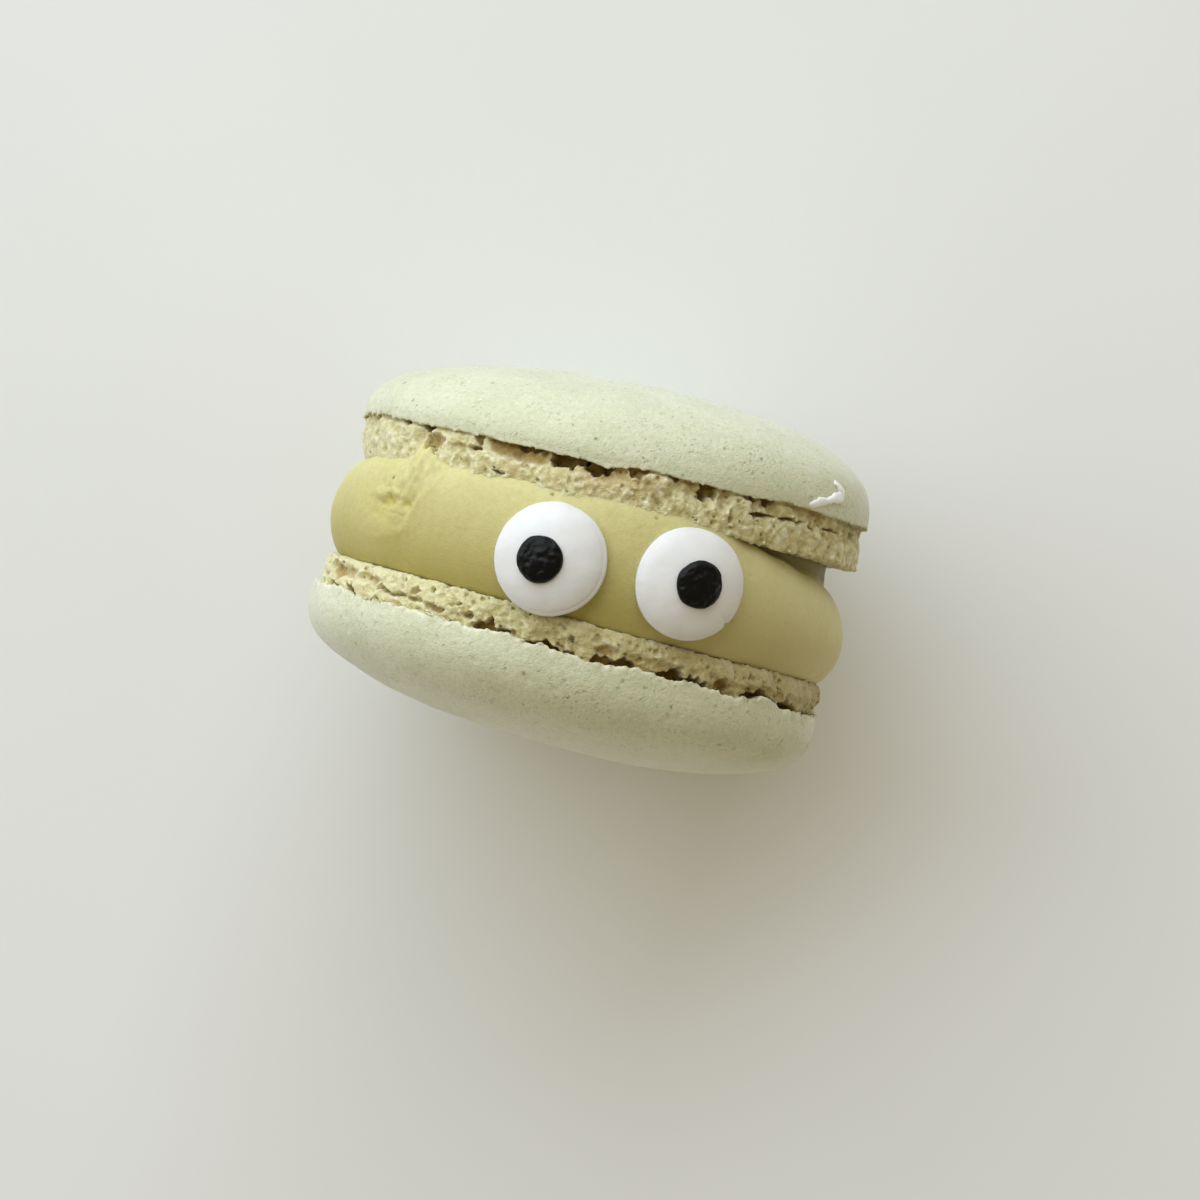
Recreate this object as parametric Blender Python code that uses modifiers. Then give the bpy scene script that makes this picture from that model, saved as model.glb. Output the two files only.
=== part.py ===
"""French macaron with two candy eyes, standing on its rim.

Two domed almond-meringue shells with ruffled feet hold a thick disc of green
ganache.  The macaron stands on its rim like a wheel, its own axis lying along
the world Y axis, and two sugar eyes sit on the uppermost part of the ganache.

World frame: metres, +Z up, the floor is z = 0, +X runs along the rim at the
top, +Y points out of the upper shell's dome.

Macaron frame (the empty "macaron"): local Z is the macaron's own axis, local X
is world X, and the top of the rim is at local -Y.  Angles round the rim are
measured from the top, positive towards +X.
"""

import math

import bmesh
import bpy
from mathutils import Matrix, Vector

MM = 0.001

# ---------------------------------------------------------------- main sizes
AXLE_HEIGHT = 24.60 * MM          # the macaron's axis above the floor
STEPS = 84                        # facets round the rim

# Upper shell (towards +Y)
UPPER_RADIUS = 25.0 * MM
UPPER_FOOT = 3.90 * MM            # height of the foot, base plane to skirt
UPPER_DOME = 8.80 * MM            # height of the dome above the skirt
UPPER_BASE = 5.10 * MM            # base plane along the axis
UPPER_SHIFT = 0.55 * MM           # sideways shift of the shell
UPPER_TILT = math.radians(-0.7)
UPPER_SLOPE = 0.020               # the dome's own slant, on top of the tilt
UPPER_POWER = 2.3                 # fullness of the dome, 2 is an ellipse

# Lower shell (towards -Y)
LOWER_RADIUS = 25.2 * MM
LOWER_FOOT = 3.20 * MM
LOWER_DOME = 9.10 * MM
LOWER_BASE = -5.52 * MM
LOWER_SHIFT = -0.36 * MM
LOWER_TILT = math.radians(2.0)
LOWER_SLOPE = 0.006
LOWER_POWER = 2.55

FOOT_INSET = 0.55 * MM            # foot's outer face inside the skirt
CREVICE = 1.25 * MM               # depth of the groove under the skirt
RUFFLE = 0.26 * MM                # unevenness of the feet

# Ganache
FILL_RADIUS = 25.5 * MM           # crest of its bulge
FILL_NECK = 23.3 * MM             # where it meets the feet
FILL_CORE = 22.6 * MM             # wall inside the groove at its upper right
FILL_GAP = 0.3 * MM               # clearance to each shell
FILL_FLOOR_GAP = 0.12 * MM        # the ganache stays just off the floor

# Candy eyes: (angle round the rim in degrees, offset along the axis)
EYE_RADIUS = 5.15 * MM
EYE_EDGE = 1.75 * MM              # height of the rounded rim
EYE_HEIGHT = 2.75 * MM            # height at the middle
EYE_SEAT = 24.95 * MM             # eye's flat back, from the macaron's axis
EYE_GAP = 0.12 * MM
EYES = {
    "left": {"angle": -7.5, "along": -0.63 * MM, "pupil": (-0.70 * MM, -0.30 * MM)},
    "right": {"angle": 21.4, "along": 0.0, "pupil": (0.16 * MM, 0.14 * MM)},
}
PUPIL_RADIUS = 2.14 * MM
PUPIL_HEIGHT = 1.0 * MM
PUPIL_SINK = 0.42 * MM            # depth of its seat below the eye's top
PUPIL_GAP = 0.08 * MM


# ------------------------------------------------------------------- helpers
def clear_scene():
    for obj in list(bpy.data.objects):
        bpy.data.objects.remove(obj, do_unlink=True)


def collection(name):
    col = bpy.data.collections.new(name)
    bpy.context.scene.collection.children.link(col)
    return col


def material(name, colour, roughness, metallic=0.0):
    mat = bpy.data.materials.new(name)
    mat.use_nodes = True
    shader = mat.node_tree.nodes["Principled BSDF"]
    shader.inputs["Base Color"].default_value = (*colour, 1.0)
    shader.inputs["Roughness"].default_value = roughness
    shader.inputs["Metallic"].default_value = metallic
    mat.diffuse_color = (*colour, 1.0)
    return mat


def smoothstep(low, high, value):
    t = min(1.0, max(0.0, (value - low) / (high - low)))
    return t * t * (3 - 2 * t)


def turned(name, profile, steps, col):
    """A solid of revolution about local Z: profile is (radius, height), top to bottom."""
    line = bpy.data.meshes.new(name + "_profile")
    line.from_pydata([(r, 0.0, z) for r, z in profile],
                     [(i, i + 1) for i in range(len(profile) - 1)], [])
    obj = bpy.data.objects.new(name, line)
    col.objects.link(obj)
    screw = obj.modifiers.new("turn", "SCREW")
    screw.axis = "Z"
    screw.angle = 2 * math.pi
    screw.steps = steps
    screw.render_steps = steps
    screw.use_merge_vertices = True
    screw.merge_threshold = 0.00001
    bpy.context.view_layer.update()
    graph = bpy.context.evaluated_depsgraph_get()
    solid = bpy.data.meshes.new_from_object(obj.evaluated_get(graph))
    obj.modifiers.clear()
    obj.data = solid
    bpy.data.meshes.remove(line)
    shape = bmesh.new()
    shape.from_mesh(solid)
    bmesh.ops.remove_doubles(shape, verts=shape.verts, dist=1e-7)
    bmesh.ops.recalc_face_normals(shape, faces=shape.faces)
    shape.to_mesh(solid)
    shape.free()
    solid.shade_smooth()
    solid.set_sharp_from_angle(angle=math.radians(40))
    return obj


def cut(obj, cutter, name):
    boolean = obj.modifiers.new(name, "BOOLEAN")
    boolean.operation = "DIFFERENCE"
    boolean.solver = "EXACT"
    boolean.object = cutter


def as_cutter(obj):
    obj.hide_render = True
    obj.display_type = "WIRE"


def dome_curve(radius, height, power, count):
    """Superellipse from the middle of the dome out to the skirt."""
    points = []
    for i in range(count):
        t = math.pi / 2 * (1 - i / (count - 1)) ** 0.92
        points.append((radius * math.cos(t) ** (2 / power) if i else 0.0,
                       height * math.sin(t) ** (2 / power)))
    return points


# -------------------------------------------------------------------- shells
def shell_profile(radius, foot, dome, power):
    """Dome, rounded skirt, groove, foot and flat base; the base plane is z = 0."""
    lip = 0.55 * MM
    outer = [(r, foot + lip + z) for r, z in dome_curve(radius, dome - lip, power, 10)]
    skirt = [
        (radius - 0.10 * MM, foot + 0.12 * MM),
        (radius - 0.42 * MM, foot - 0.06 * MM),
    ]
    groove = [(radius - CREVICE, foot - 0.38 * MM)]
    face = radius - FOOT_INSET
    foot_wall = [
        (face - 0.12 * MM, foot - 0.80 * MM),
        (face + 0.05 * MM, foot * 0.50),
        (face - 0.10 * MM, foot * 0.20),
        (face - 0.55 * MM, 0.0),
    ]
    base = [(radius * 0.55, 0.0), (0.0, 0.0)]
    return outer + skirt + groove + foot_wall + base


def ruffle_amount(angle, phase):
    return (0.50 * math.sin(13 * angle + phase)
            + 0.35 * math.sin(19 * angle + 2.1 * phase)
            + 0.30 * math.sin(7 * angle + 0.7 * phase))


def shape_shell(obj, radius, foot, phase, skirt_dips, foot_slide, slope):
    """Turns the plain turned solid into an uneven, baked one."""
    for vertex in obj.data.vertices:
        x, y, z = vertex.co
        r = math.hypot(x, y)
        if r < 1e-6:
            continue
        angle = math.atan2(y, x)
        # gently out of round
        grow = 1 + 0.0035 * math.cos(2 * angle + phase) + 0.0025 * math.cos(3 * angle - phase)
        # ruffled foot, strongest at half its height
        in_foot = max(0.0, 1 - abs(z - foot * 0.45) / (foot * 0.5))
        at_rim = smoothstep(0.80 * radius, 0.93 * radius, r)
        r = r * grow + RUFFLE * ruffle_amount(angle, phase) * min(1.0, 1.6 * in_foot) * at_rim
        # the foot has crept a little to one side
        slide = foot_slide * in_foot * at_rim
        # wavy edge of the skirt
        near_skirt = max(0.0, 1 - abs(z - foot) / (1.4 * MM)) * at_rim
        wave = 0.10 * MM * (math.sin(5 * angle + phase) + 0.8 * math.sin(9 * angle - phase))
        for where, width, depth in skirt_dips:
            away = (angle - where + math.pi) % (2 * math.pi) - math.pi
            wave -= depth * math.exp(-(away / width) ** 2)
        slant = slope * x * smoothstep(foot, foot + 3 * MM, z)
        vertex.co.x = r * math.cos(angle) + slide
        vertex.co.y = r * math.sin(angle)
        vertex.co.z = z + wave * near_skirt + slant
    obj.data.update()


def make_shell(name, col, root, mat, radius, foot, dome, power, base, shift, flip,
               tilt, slope, phase, skirt_dips, foot_slide):
    shell = turned(name, shell_profile(radius, foot, dome, power), STEPS, col)
    shape_shell(shell, radius, foot, phase, skirt_dips, foot_slide, slope)
    shell.parent = root
    shell.location = (shift, 0.0, base)
    shell.rotation_euler = (math.pi if flip else 0.0, tilt, 0.0)
    shell.data.materials.append(mat)
    return shell


# ------------------------------------------------------------------- ganache
def plane_height(base, shift, tilt, x):
    """Height along the axis of a shell's tilted base plane at x."""
    return base - (x - shift) * math.tan(tilt)


def groove_amount(angle):
    """1 where the ganache falls away from the upper shell, 0 elsewhere."""
    degrees = math.degrees(angle)
    return smoothstep(24, 62, degrees) * (1 - smoothstep(105, 150, degrees))


def fill_profile():
    """(radius, share of the height): 1 at the upper shell, 0 at the lower one."""
    rows = [(0.0, 1.0), (FILL_CORE * 0.55, 1.0), (FILL_CORE, 1.0)]
    bulge = 11
    for i in range(bulge):
        share = 1 - 0.03 - (1 - 0.06) * i / (bulge - 1)
        t = abs(2 * share - 1)
        radius = FILL_NECK + (FILL_RADIUS - FILL_NECK) * (1 - t ** 2.3) ** 0.62
        rows.append((radius, share))
    rows += [(FILL_CORE, 0.0), (FILL_CORE * 0.55, 0.0), (0.0, 0.0)]
    return rows


def make_filling(col, root, mat):
    filling = turned("filling", fill_profile(), STEPS, col)
    for vertex in filling.data.vertices:
        x, y, share = vertex.co
        r = math.hypot(x, y)
        angle = math.atan2(x, -y) if r > 1e-6 else 0.0   # from the top of the rim
        high = plane_height(UPPER_BASE, UPPER_SHIFT, UPPER_TILT, x) - FILL_GAP
        low = plane_height(LOWER_BASE, LOWER_SHIFT, LOWER_TILT, x) + FILL_GAP
        if r > FILL_CORE + 0.0001 * MM:
            # the bulge keeps to the lower share where it falls away from the shell
            share = share * (1 - 0.20 * groove_amount(angle))
            swell = 1 + 0.0030 * math.sin(2 * angle + 0.6) + 0.0018 * math.sin(5 * angle)
            r *= swell
        if r > 1e-6:
            vertex.co.x = r * math.sin(angle)
            vertex.co.y = -r * math.cos(angle)
        vertex.co.z = low + (high - low) * share
    filling.data.update()
    filling.parent = root
    filling.data.materials.append(mat)
    return filling


# ---------------------------------------------------------------------- eyes
def eye_profile():
    """Flat back, rounded rim, low dome."""
    rows = []
    for i in range(6):
        r = (EYE_RADIUS - 0.55 * MM) * i / 5
        share = r / (EYE_RADIUS - 0.55 * MM)
        rows.append((r, EYE_EDGE + 0.30 * MM + (EYE_HEIGHT - EYE_EDGE - 0.30 * MM) * (1 - share ** 2)))
    rows += [
        (EYE_RADIUS - 0.18 * MM, EYE_EDGE),
        (EYE_RADIUS, EYE_EDGE * 0.62),
        (EYE_RADIUS - 0.05 * MM, EYE_EDGE * 0.25),
        (EYE_RADIUS - 0.35 * MM, 0.0),
        (0.0, 0.0),
    ]
    return rows


def pupil_profile():
    """Low icing drop, flat underneath."""
    rows = []
    for i in range(6):
        t = math.pi / 2 * (1 - i / 5)
        rows.append((PUPIL_RADIUS * math.cos(t) if i else 0.0,
                     0.25 * MM + (PUPIL_HEIGHT - 0.25 * MM) * math.sin(t) ** 0.9))
    rows += [(PUPIL_RADIUS - 0.12 * MM, 0.0), (0.0, 0.0)]
    return rows


def seat_on_rim(obj, root, angle_deg, along, distance):
    """Places obj on the rim, its local Z pointing out from the macaron's axis."""
    angle = math.radians(angle_deg)
    obj.parent = root
    out = Vector((math.sin(angle), -math.cos(angle), 0.0))
    obj.rotation_mode = "QUATERNION"
    across = Vector((math.cos(angle), math.sin(angle), 0.0))
    axis = Vector((0.0, 0.0, 1.0))
    # local X runs along the rim, local Y along the macaron's axis, local Z outwards
    obj.rotation_quaternion = Matrix((across, axis, out)).transposed().to_quaternion()
    obj.location = out * distance + axis * along


def make_eye(side, spec, col, cutters, root, white, black, filling):
    eye = turned("eye_" + side, eye_profile(), 34, col)
    seat_on_rim(eye, root, spec["angle"], spec["along"], EYE_SEAT)
    eye.data.materials.append(white)

    pocket = turned("pocket_" + side, [
        (0.0, 4 * MM), (EYE_RADIUS + EYE_GAP, 4 * MM),
        (EYE_RADIUS + EYE_GAP, -EYE_GAP), (0.0, -EYE_GAP)], 34, cutters)
    seat_on_rim(pocket, root, spec["angle"], spec["along"], EYE_SEAT)
    as_cutter(pocket)
    cut(filling, pocket, "pocket_" + side)

    px, py = spec["pupil"]
    seat_height = EYE_HEIGHT - PUPIL_SINK
    seat = turned("pupil_seat_" + side, [
        (0.0, 3 * MM), (PUPIL_RADIUS + PUPIL_GAP, 3 * MM),
        (PUPIL_RADIUS + PUPIL_GAP, 0.0), (0.0, 0.0)], 26, cutters)
    seat.parent = eye
    seat.location = (px, py, seat_height)
    as_cutter(seat)
    cut(eye, seat, "pupil_seat")

    pupil = turned("pupil_" + side, pupil_profile(), 26, col)
    pupil.parent = eye
    pupil.location = (px, py, seat_height + PUPIL_GAP)
    pupil.data.materials.append(black)
    return eye, pupil


# ---------------------------------------------------------------------- main
def main():
    clear_scene()
    col = collection("macaron_parts")
    cutters = collection("cutters")

    crust = material("crust", (0.66, 0.70, 0.48), 0.82)
    ganache = material("ganache", (0.48, 0.44, 0.17), 0.48)
    white = material("icing_white", (0.86, 0.86, 0.84), 0.45)
    black = material("icing_black", (0.012, 0.012, 0.012), 0.42)

    root = bpy.data.objects.new("macaron", None)
    col.objects.link(root)
    root.location = (0.0, 0.0, AXLE_HEIGHT)
    root.rotation_euler = (-math.pi / 2, 0.0, 0.0)

    # angles in a shell's own frame are measured from its local +X; the top of
    # the rim is at -90 degrees on the upper shell and +90 on the flipped one
    upper = make_shell(
        "shell_upper", col, root, crust, UPPER_RADIUS, UPPER_FOOT, UPPER_DOME, UPPER_POWER,
        UPPER_BASE, UPPER_SHIFT, False, UPPER_TILT, UPPER_SLOPE, 0.4,
        [(math.radians(-98), math.radians(9), 0.45 * MM)], -0.15 * MM)
    lower = make_shell(
        "shell_lower", col, root, crust, LOWER_RADIUS, LOWER_FOOT, LOWER_DOME, LOWER_POWER,
        LOWER_BASE, LOWER_SHIFT, True, LOWER_TILT, LOWER_SLOPE, 1.9,
        [(math.radians(75), math.radians(5), 0.35 * MM)], 0.20 * MM)
    filling = make_filling(col, root, ganache)

    # the floor takes a small flat off each shell and keeps the ganache clear
    for name, top, solids in (("floor_cut", 0.0, (upper, lower)),
                              ("floor_clearance", FILL_FLOOR_GAP, (filling,))):
        bpy.ops.mesh.primitive_cube_add(size=1.0, location=(0, 0, top - 0.02))
        block = bpy.context.active_object
        block.name = name
        for owner in list(block.users_collection):
            owner.objects.unlink(block)
        cutters.objects.link(block)
        block.scale = (0.12, 0.12, 0.04)
        as_cutter(block)
        for solid in solids:
            cut(solid, block, name)

    solids = [upper, lower, filling]
    for side, spec in EYES.items():
        solids += make_eye(side, spec, col, cutters, root, white, black, filling)

    # the origin is at the middle of the macaron's footprint
    bpy.context.view_layer.update()
    graph = bpy.context.evaluated_depsgraph_get()
    low, high = Vector((1e9,) * 3), Vector((-1e9,) * 3)
    for solid in solids:
        shown = solid.evaluated_get(graph)
        mesh = shown.to_mesh()
        for vertex in mesh.vertices:
            p = shown.matrix_world @ vertex.co
            low = Vector(map(min, low, p))
            high = Vector(map(max, high, p))
        shown.to_mesh_clear()
    middle = (low + high) / 2
    root.location.x -= middle.x
    root.location.y -= middle.y
    bpy.context.view_layer.update()


main()
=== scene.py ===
import bpy
import bmesh
import math
import numpy as np
from mathutils import Matrix, Vector


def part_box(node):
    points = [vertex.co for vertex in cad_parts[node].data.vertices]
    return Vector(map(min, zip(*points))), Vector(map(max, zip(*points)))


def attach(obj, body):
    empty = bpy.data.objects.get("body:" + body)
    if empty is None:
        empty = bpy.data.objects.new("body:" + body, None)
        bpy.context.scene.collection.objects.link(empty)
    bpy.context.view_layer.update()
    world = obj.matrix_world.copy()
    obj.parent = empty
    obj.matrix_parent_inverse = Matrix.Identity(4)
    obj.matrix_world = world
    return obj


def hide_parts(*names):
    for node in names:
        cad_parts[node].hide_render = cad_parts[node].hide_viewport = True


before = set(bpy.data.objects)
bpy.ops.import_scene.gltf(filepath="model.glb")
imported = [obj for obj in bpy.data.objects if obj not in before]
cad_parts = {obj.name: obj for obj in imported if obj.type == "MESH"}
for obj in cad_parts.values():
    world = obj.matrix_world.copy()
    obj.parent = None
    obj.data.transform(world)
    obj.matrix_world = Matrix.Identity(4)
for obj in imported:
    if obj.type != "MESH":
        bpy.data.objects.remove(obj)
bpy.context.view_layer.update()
MM = 0.001

# ------------------------------------------------------------------ the frame
fill_low, fill_high = (np.array(c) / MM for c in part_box("filling"))
up_low, up_high = (np.array(c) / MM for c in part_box("shell_upper"))
lo_low, lo_high = (np.array(c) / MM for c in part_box("shell_lower"))
eye_boxes = {s: [np.array(c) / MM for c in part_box("eye_" + s)] for s in ("left", "right")}
UP_R, LO_R, FILL_R = 25.0, 25.2, 25.5
UP_X = (up_low[0] + up_high[0]) / 2 - 0.03
LO_X = (lo_low[0] + lo_high[0]) / 2 + 0.15
FILL_X = (fill_low[0] + fill_high[0]) / 2
AXLE = fill_high[2] - FILL_R + 0.01          # height of the macaron's axis

scene = bpy.context.scene
scene.view_settings.view_transform = "Standard"
scene.view_settings.look = "None"


# ---------------------------------------------------------------------- noise
_lattices = {}


def lattice(seed):
    if seed not in _lattices:
        _lattices[seed] = np.random.RandomState(seed).rand(48, 48, 48).astype(np.float32)
    return _lattices[seed]


def vnoise(p, size, seed):
    """Smooth value noise, 0..1; p is (..., 3) in millimetres, size a cell in millimetres."""
    grid = lattice(seed)
    q = np.asarray(p, np.float32) / np.float32(size) + np.float32(17.3)
    base = np.floor(q).astype(np.int32)
    f = q - base
    f = f * f * (3 - 2 * f)
    base %= 48
    nxt = (base + 1) % 48
    x0, y0, z0 = base[..., 0], base[..., 1], base[..., 2]
    x1, y1, z1 = nxt[..., 0], nxt[..., 1], nxt[..., 2]
    fx, fy, fz = f[..., 0], f[..., 1], f[..., 2]
    a = grid[x0, y0, z0] * (1 - fx) + grid[x1, y0, z0] * fx
    b = grid[x0, y1, z0] * (1 - fx) + grid[x1, y1, z0] * fx
    c = grid[x0, y0, z1] * (1 - fx) + grid[x1, y0, z1] * fx
    d = grid[x0, y1, z1] * (1 - fx) + grid[x1, y1, z1] * fx
    return (a * (1 - fy) + b * fy) * (1 - fz) + (c * (1 - fy) + d * fy) * fz


def fbm(p, size, seed, octaves=3, gain=0.5):
    total, weight, amp = 0.0, 0.0, 1.0
    for o in range(octaves):
        total = total + amp * vnoise(p, size / 2 ** o, seed + 31 * o)
        weight += amp
        amp *= gain
    return total / weight


def cells(p, size, seed):
    """Distance to the nearest scattered point (F1) and to the second (F2), in cell sizes."""
    r = np.random.RandomState(seed)
    jitter = r.rand(40, 40, 40, 3).astype(np.float32)
    q = np.asarray(p, np.float32) / np.float32(size) + np.float32(9.7)
    base = np.floor(q).astype(np.int32)
    f1 = np.full(q.shape[:-1], 9.0, np.float32)
    f2 = f1.copy()
    for dx in (-1, 0, 1):
        for dy in (-1, 0, 1):
            for dz in (-1, 0, 1):
                c = base + np.array([dx, dy, dz], np.int32)
                m = c % 40
                point = c + jitter[m[..., 0], m[..., 1], m[..., 2]]
                dist = np.sqrt(((q - point) ** 2).sum(-1))
                f2 = np.minimum(f2, np.maximum(f1, dist))
                f1 = np.minimum(f1, dist)
    return f1, f2


def sstep(a, b, x):
    t = np.clip((x - a) / (b - a), 0, 1)
    return t * t * (3 - 2 * t)


def smin(a, b, k):
    h = np.clip(0.5 + 0.5 * (b - a) / k, 0, 1)
    return b * (1 - h) + a * h - k * h * (1 - h)


def smax(a, b, k):
    return -smin(-a, -b, k)


def wrap(a):
    return (a + math.pi) % (2 * math.pi) - math.pi


def bell(theta, where_deg, width_deg):
    return np.exp(-(wrap(theta - math.radians(where_deg)) / math.radians(width_deg)) ** 2)


# ------------------------------------------------------------- mesh utilities
def new_mesh(name, verts, quads, tris, attributes=None, smooth=True):
    """verts in millimetres; quads and tris are integer arrays."""
    mesh = bpy.data.meshes.new(name)
    verts = np.asarray(verts, np.float64) * MM
    quads = np.asarray(quads, np.int32).reshape(-1, 4)
    tris = np.asarray(tris, np.int32).reshape(-1, 3)
    loops = np.concatenate([quads.ravel(), tris.ravel()])
    mesh.vertices.add(len(verts))
    mesh.vertices.foreach_set("co", verts.ravel().astype(np.float32))
    mesh.loops.add(len(loops))
    mesh.loops.foreach_set("vertex_index", loops)
    n = len(quads) + len(tris)
    starts = np.concatenate([np.arange(len(quads)) * 4, len(quads) * 4 + np.arange(len(tris)) * 3])
    mesh.polygons.add(n)
    mesh.polygons.foreach_set("loop_start", starts.astype(np.int32))
    mesh.update(calc_edges=True)
    mesh.validate(clean_customdata=False)
    shape = bmesh.new()
    shape.from_mesh(mesh)
    bmesh.ops.recalc_face_normals(shape, faces=shape.faces)
    if shape.calc_volume(signed=True) < 0:
        bmesh.ops.reverse_faces(shape, faces=shape.faces)
    open_edges = sum(1 for e in shape.edges if not e.is_manifold)
    shape.to_mesh(mesh)
    print(name, len(shape.verts), "verts", len(shape.faces), "faces", open_edges, "open or shared edges",
          "%.3f cm3" % (shape.calc_volume() * 1e6))
    shape.free()
    if smooth:
        mesh.shade_smooth()
    for key, values in (attributes or {}).items():
        layer = mesh.attributes.new(key, "FLOAT", "POINT")
        layer.data.foreach_set("value", np.asarray(values, np.float32))
    obj = bpy.data.objects.new(name, mesh)
    scene.collection.objects.link(obj)
    return obj


def biggest_part(count, quads, tris):
    """Keeps the largest connected piece of a mesh: returns vertex mask."""
    pairs = [quads[:, [0, 1]], quads[:, [1, 2]], quads[:, [2, 3]]]
    if len(tris):
        pairs += [tris[:, [0, 1]], tris[:, [1, 2]]]
    pairs = np.concatenate(pairs)
    label = np.arange(count)
    while True:
        low = np.minimum(label[pairs[:, 0]], label[pairs[:, 1]])
        new = label.copy()
        np.minimum.at(new, pairs[:, 0], low)
        np.minimum.at(new, pairs[:, 1], low)
        new = new[new]
        new = new[new]
        if np.array_equal(new, label):
            break
        label = new
    names, counts = np.unique(label, return_counts=True)
    return label == names[np.argmax(counts)]


def surface_nets(f):
    """Dual surface of f = 0, f > 0 inside; periodic along axis 0.
    Returns index-space vertices, quads, and the cell-to-vertex table."""
    n, m, k = f.shape
    g = np.concatenate([f, f[:1]], 0)
    ins = g > 0
    total = np.zeros((n, m - 1, k - 1), np.int8)
    for a in (0, 1):
        for b in (0, 1):
            for c in (0, 1):
                total += ins[a:n + a, b:m - 1 + b, c:k - 1 + c]
    active = (total > 0) & (total < 8)
    table = np.full(active.shape, -1, np.int64)
    ci, cj, ck = np.nonzero(active)
    table[ci, cj, ck] = np.arange(len(ci))
    corner = {}
    for a in (0, 1):
        for b in (0, 1):
            for c in (0, 1):
                corner[a, b, c] = g[ci + a, cj + b, ck + c]
    acc = np.zeros((len(ci), 3))
    cnt = np.zeros(len(ci))
    keys = list(corner)
    for p in keys:
        for axis in range(3):
            if p[axis] == 1:
                continue
            q = list(p)
            q[axis] = 1
            q = tuple(q)
            va, vb = corner[p], corner[q]
            cross = (va > 0) != (vb > 0)
            with np.errstate(divide="ignore", invalid="ignore"):
                t = np.where(cross, va / (va - vb), 0.0)
            for ax in range(3):
                value = p[ax] + (t if ax == axis else 0.0)
                acc[:, ax] += np.where(cross, value, 0.0)
            cnt += cross
    verts = acc / cnt[:, None] + np.stack([ci, cj, ck], 1)

    quads = []

    def add(cross_ijk, inside_first, offsets):
        i, j, kk = cross_ijk
        ids = [table[(i + o[0]) % n, j + o[1], kk + o[2]] for o in offsets]
        q = np.stack(ids, 1)
        q = np.where(inside_first[:, None], q, q[:, ::-1])
        quads.append(q[(q >= 0).all(1)])

    # edges along axis 0
    s = ins[:-1] != ins[1:]
    s[:, 0] = s[:, -1] = False
    s[:, :, 0] = s[:, :, -1] = False
    i, j, kk = np.nonzero(s)
    add((i, j, kk), ins[i, j, kk], [(0, -1, -1), (0, 0, -1), (0, 0, 0), (0, -1, 0)])
    # edges along axis 1
    s = ins[:n, :-1] != ins[:n, 1:]
    s[:, :, 0] = s[:, :, -1] = False
    i, j, kk = np.nonzero(s)
    add((i, j, kk), ins[i, j, kk], [(-1, 0, -1), (-1, 0, 0), (0, 0, 0), (0, 0, -1)])
    # edges along axis 2
    s = ins[:n, :, :-1] != ins[:n, :, 1:]
    s[:, 0] = s[:, -1] = False
    i, j, kk = np.nonzero(s)
    add((i, j, kk), ins[i, j, kk], [(-1, -1, 0), (0, -1, 0), (0, 0, 0), (-1, 0, 0)])
    return verts, np.concatenate(quads), table


# --------------------------------------------------------------------- shells
COLUMNS = 1200
VOXEL = 0.125


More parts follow.
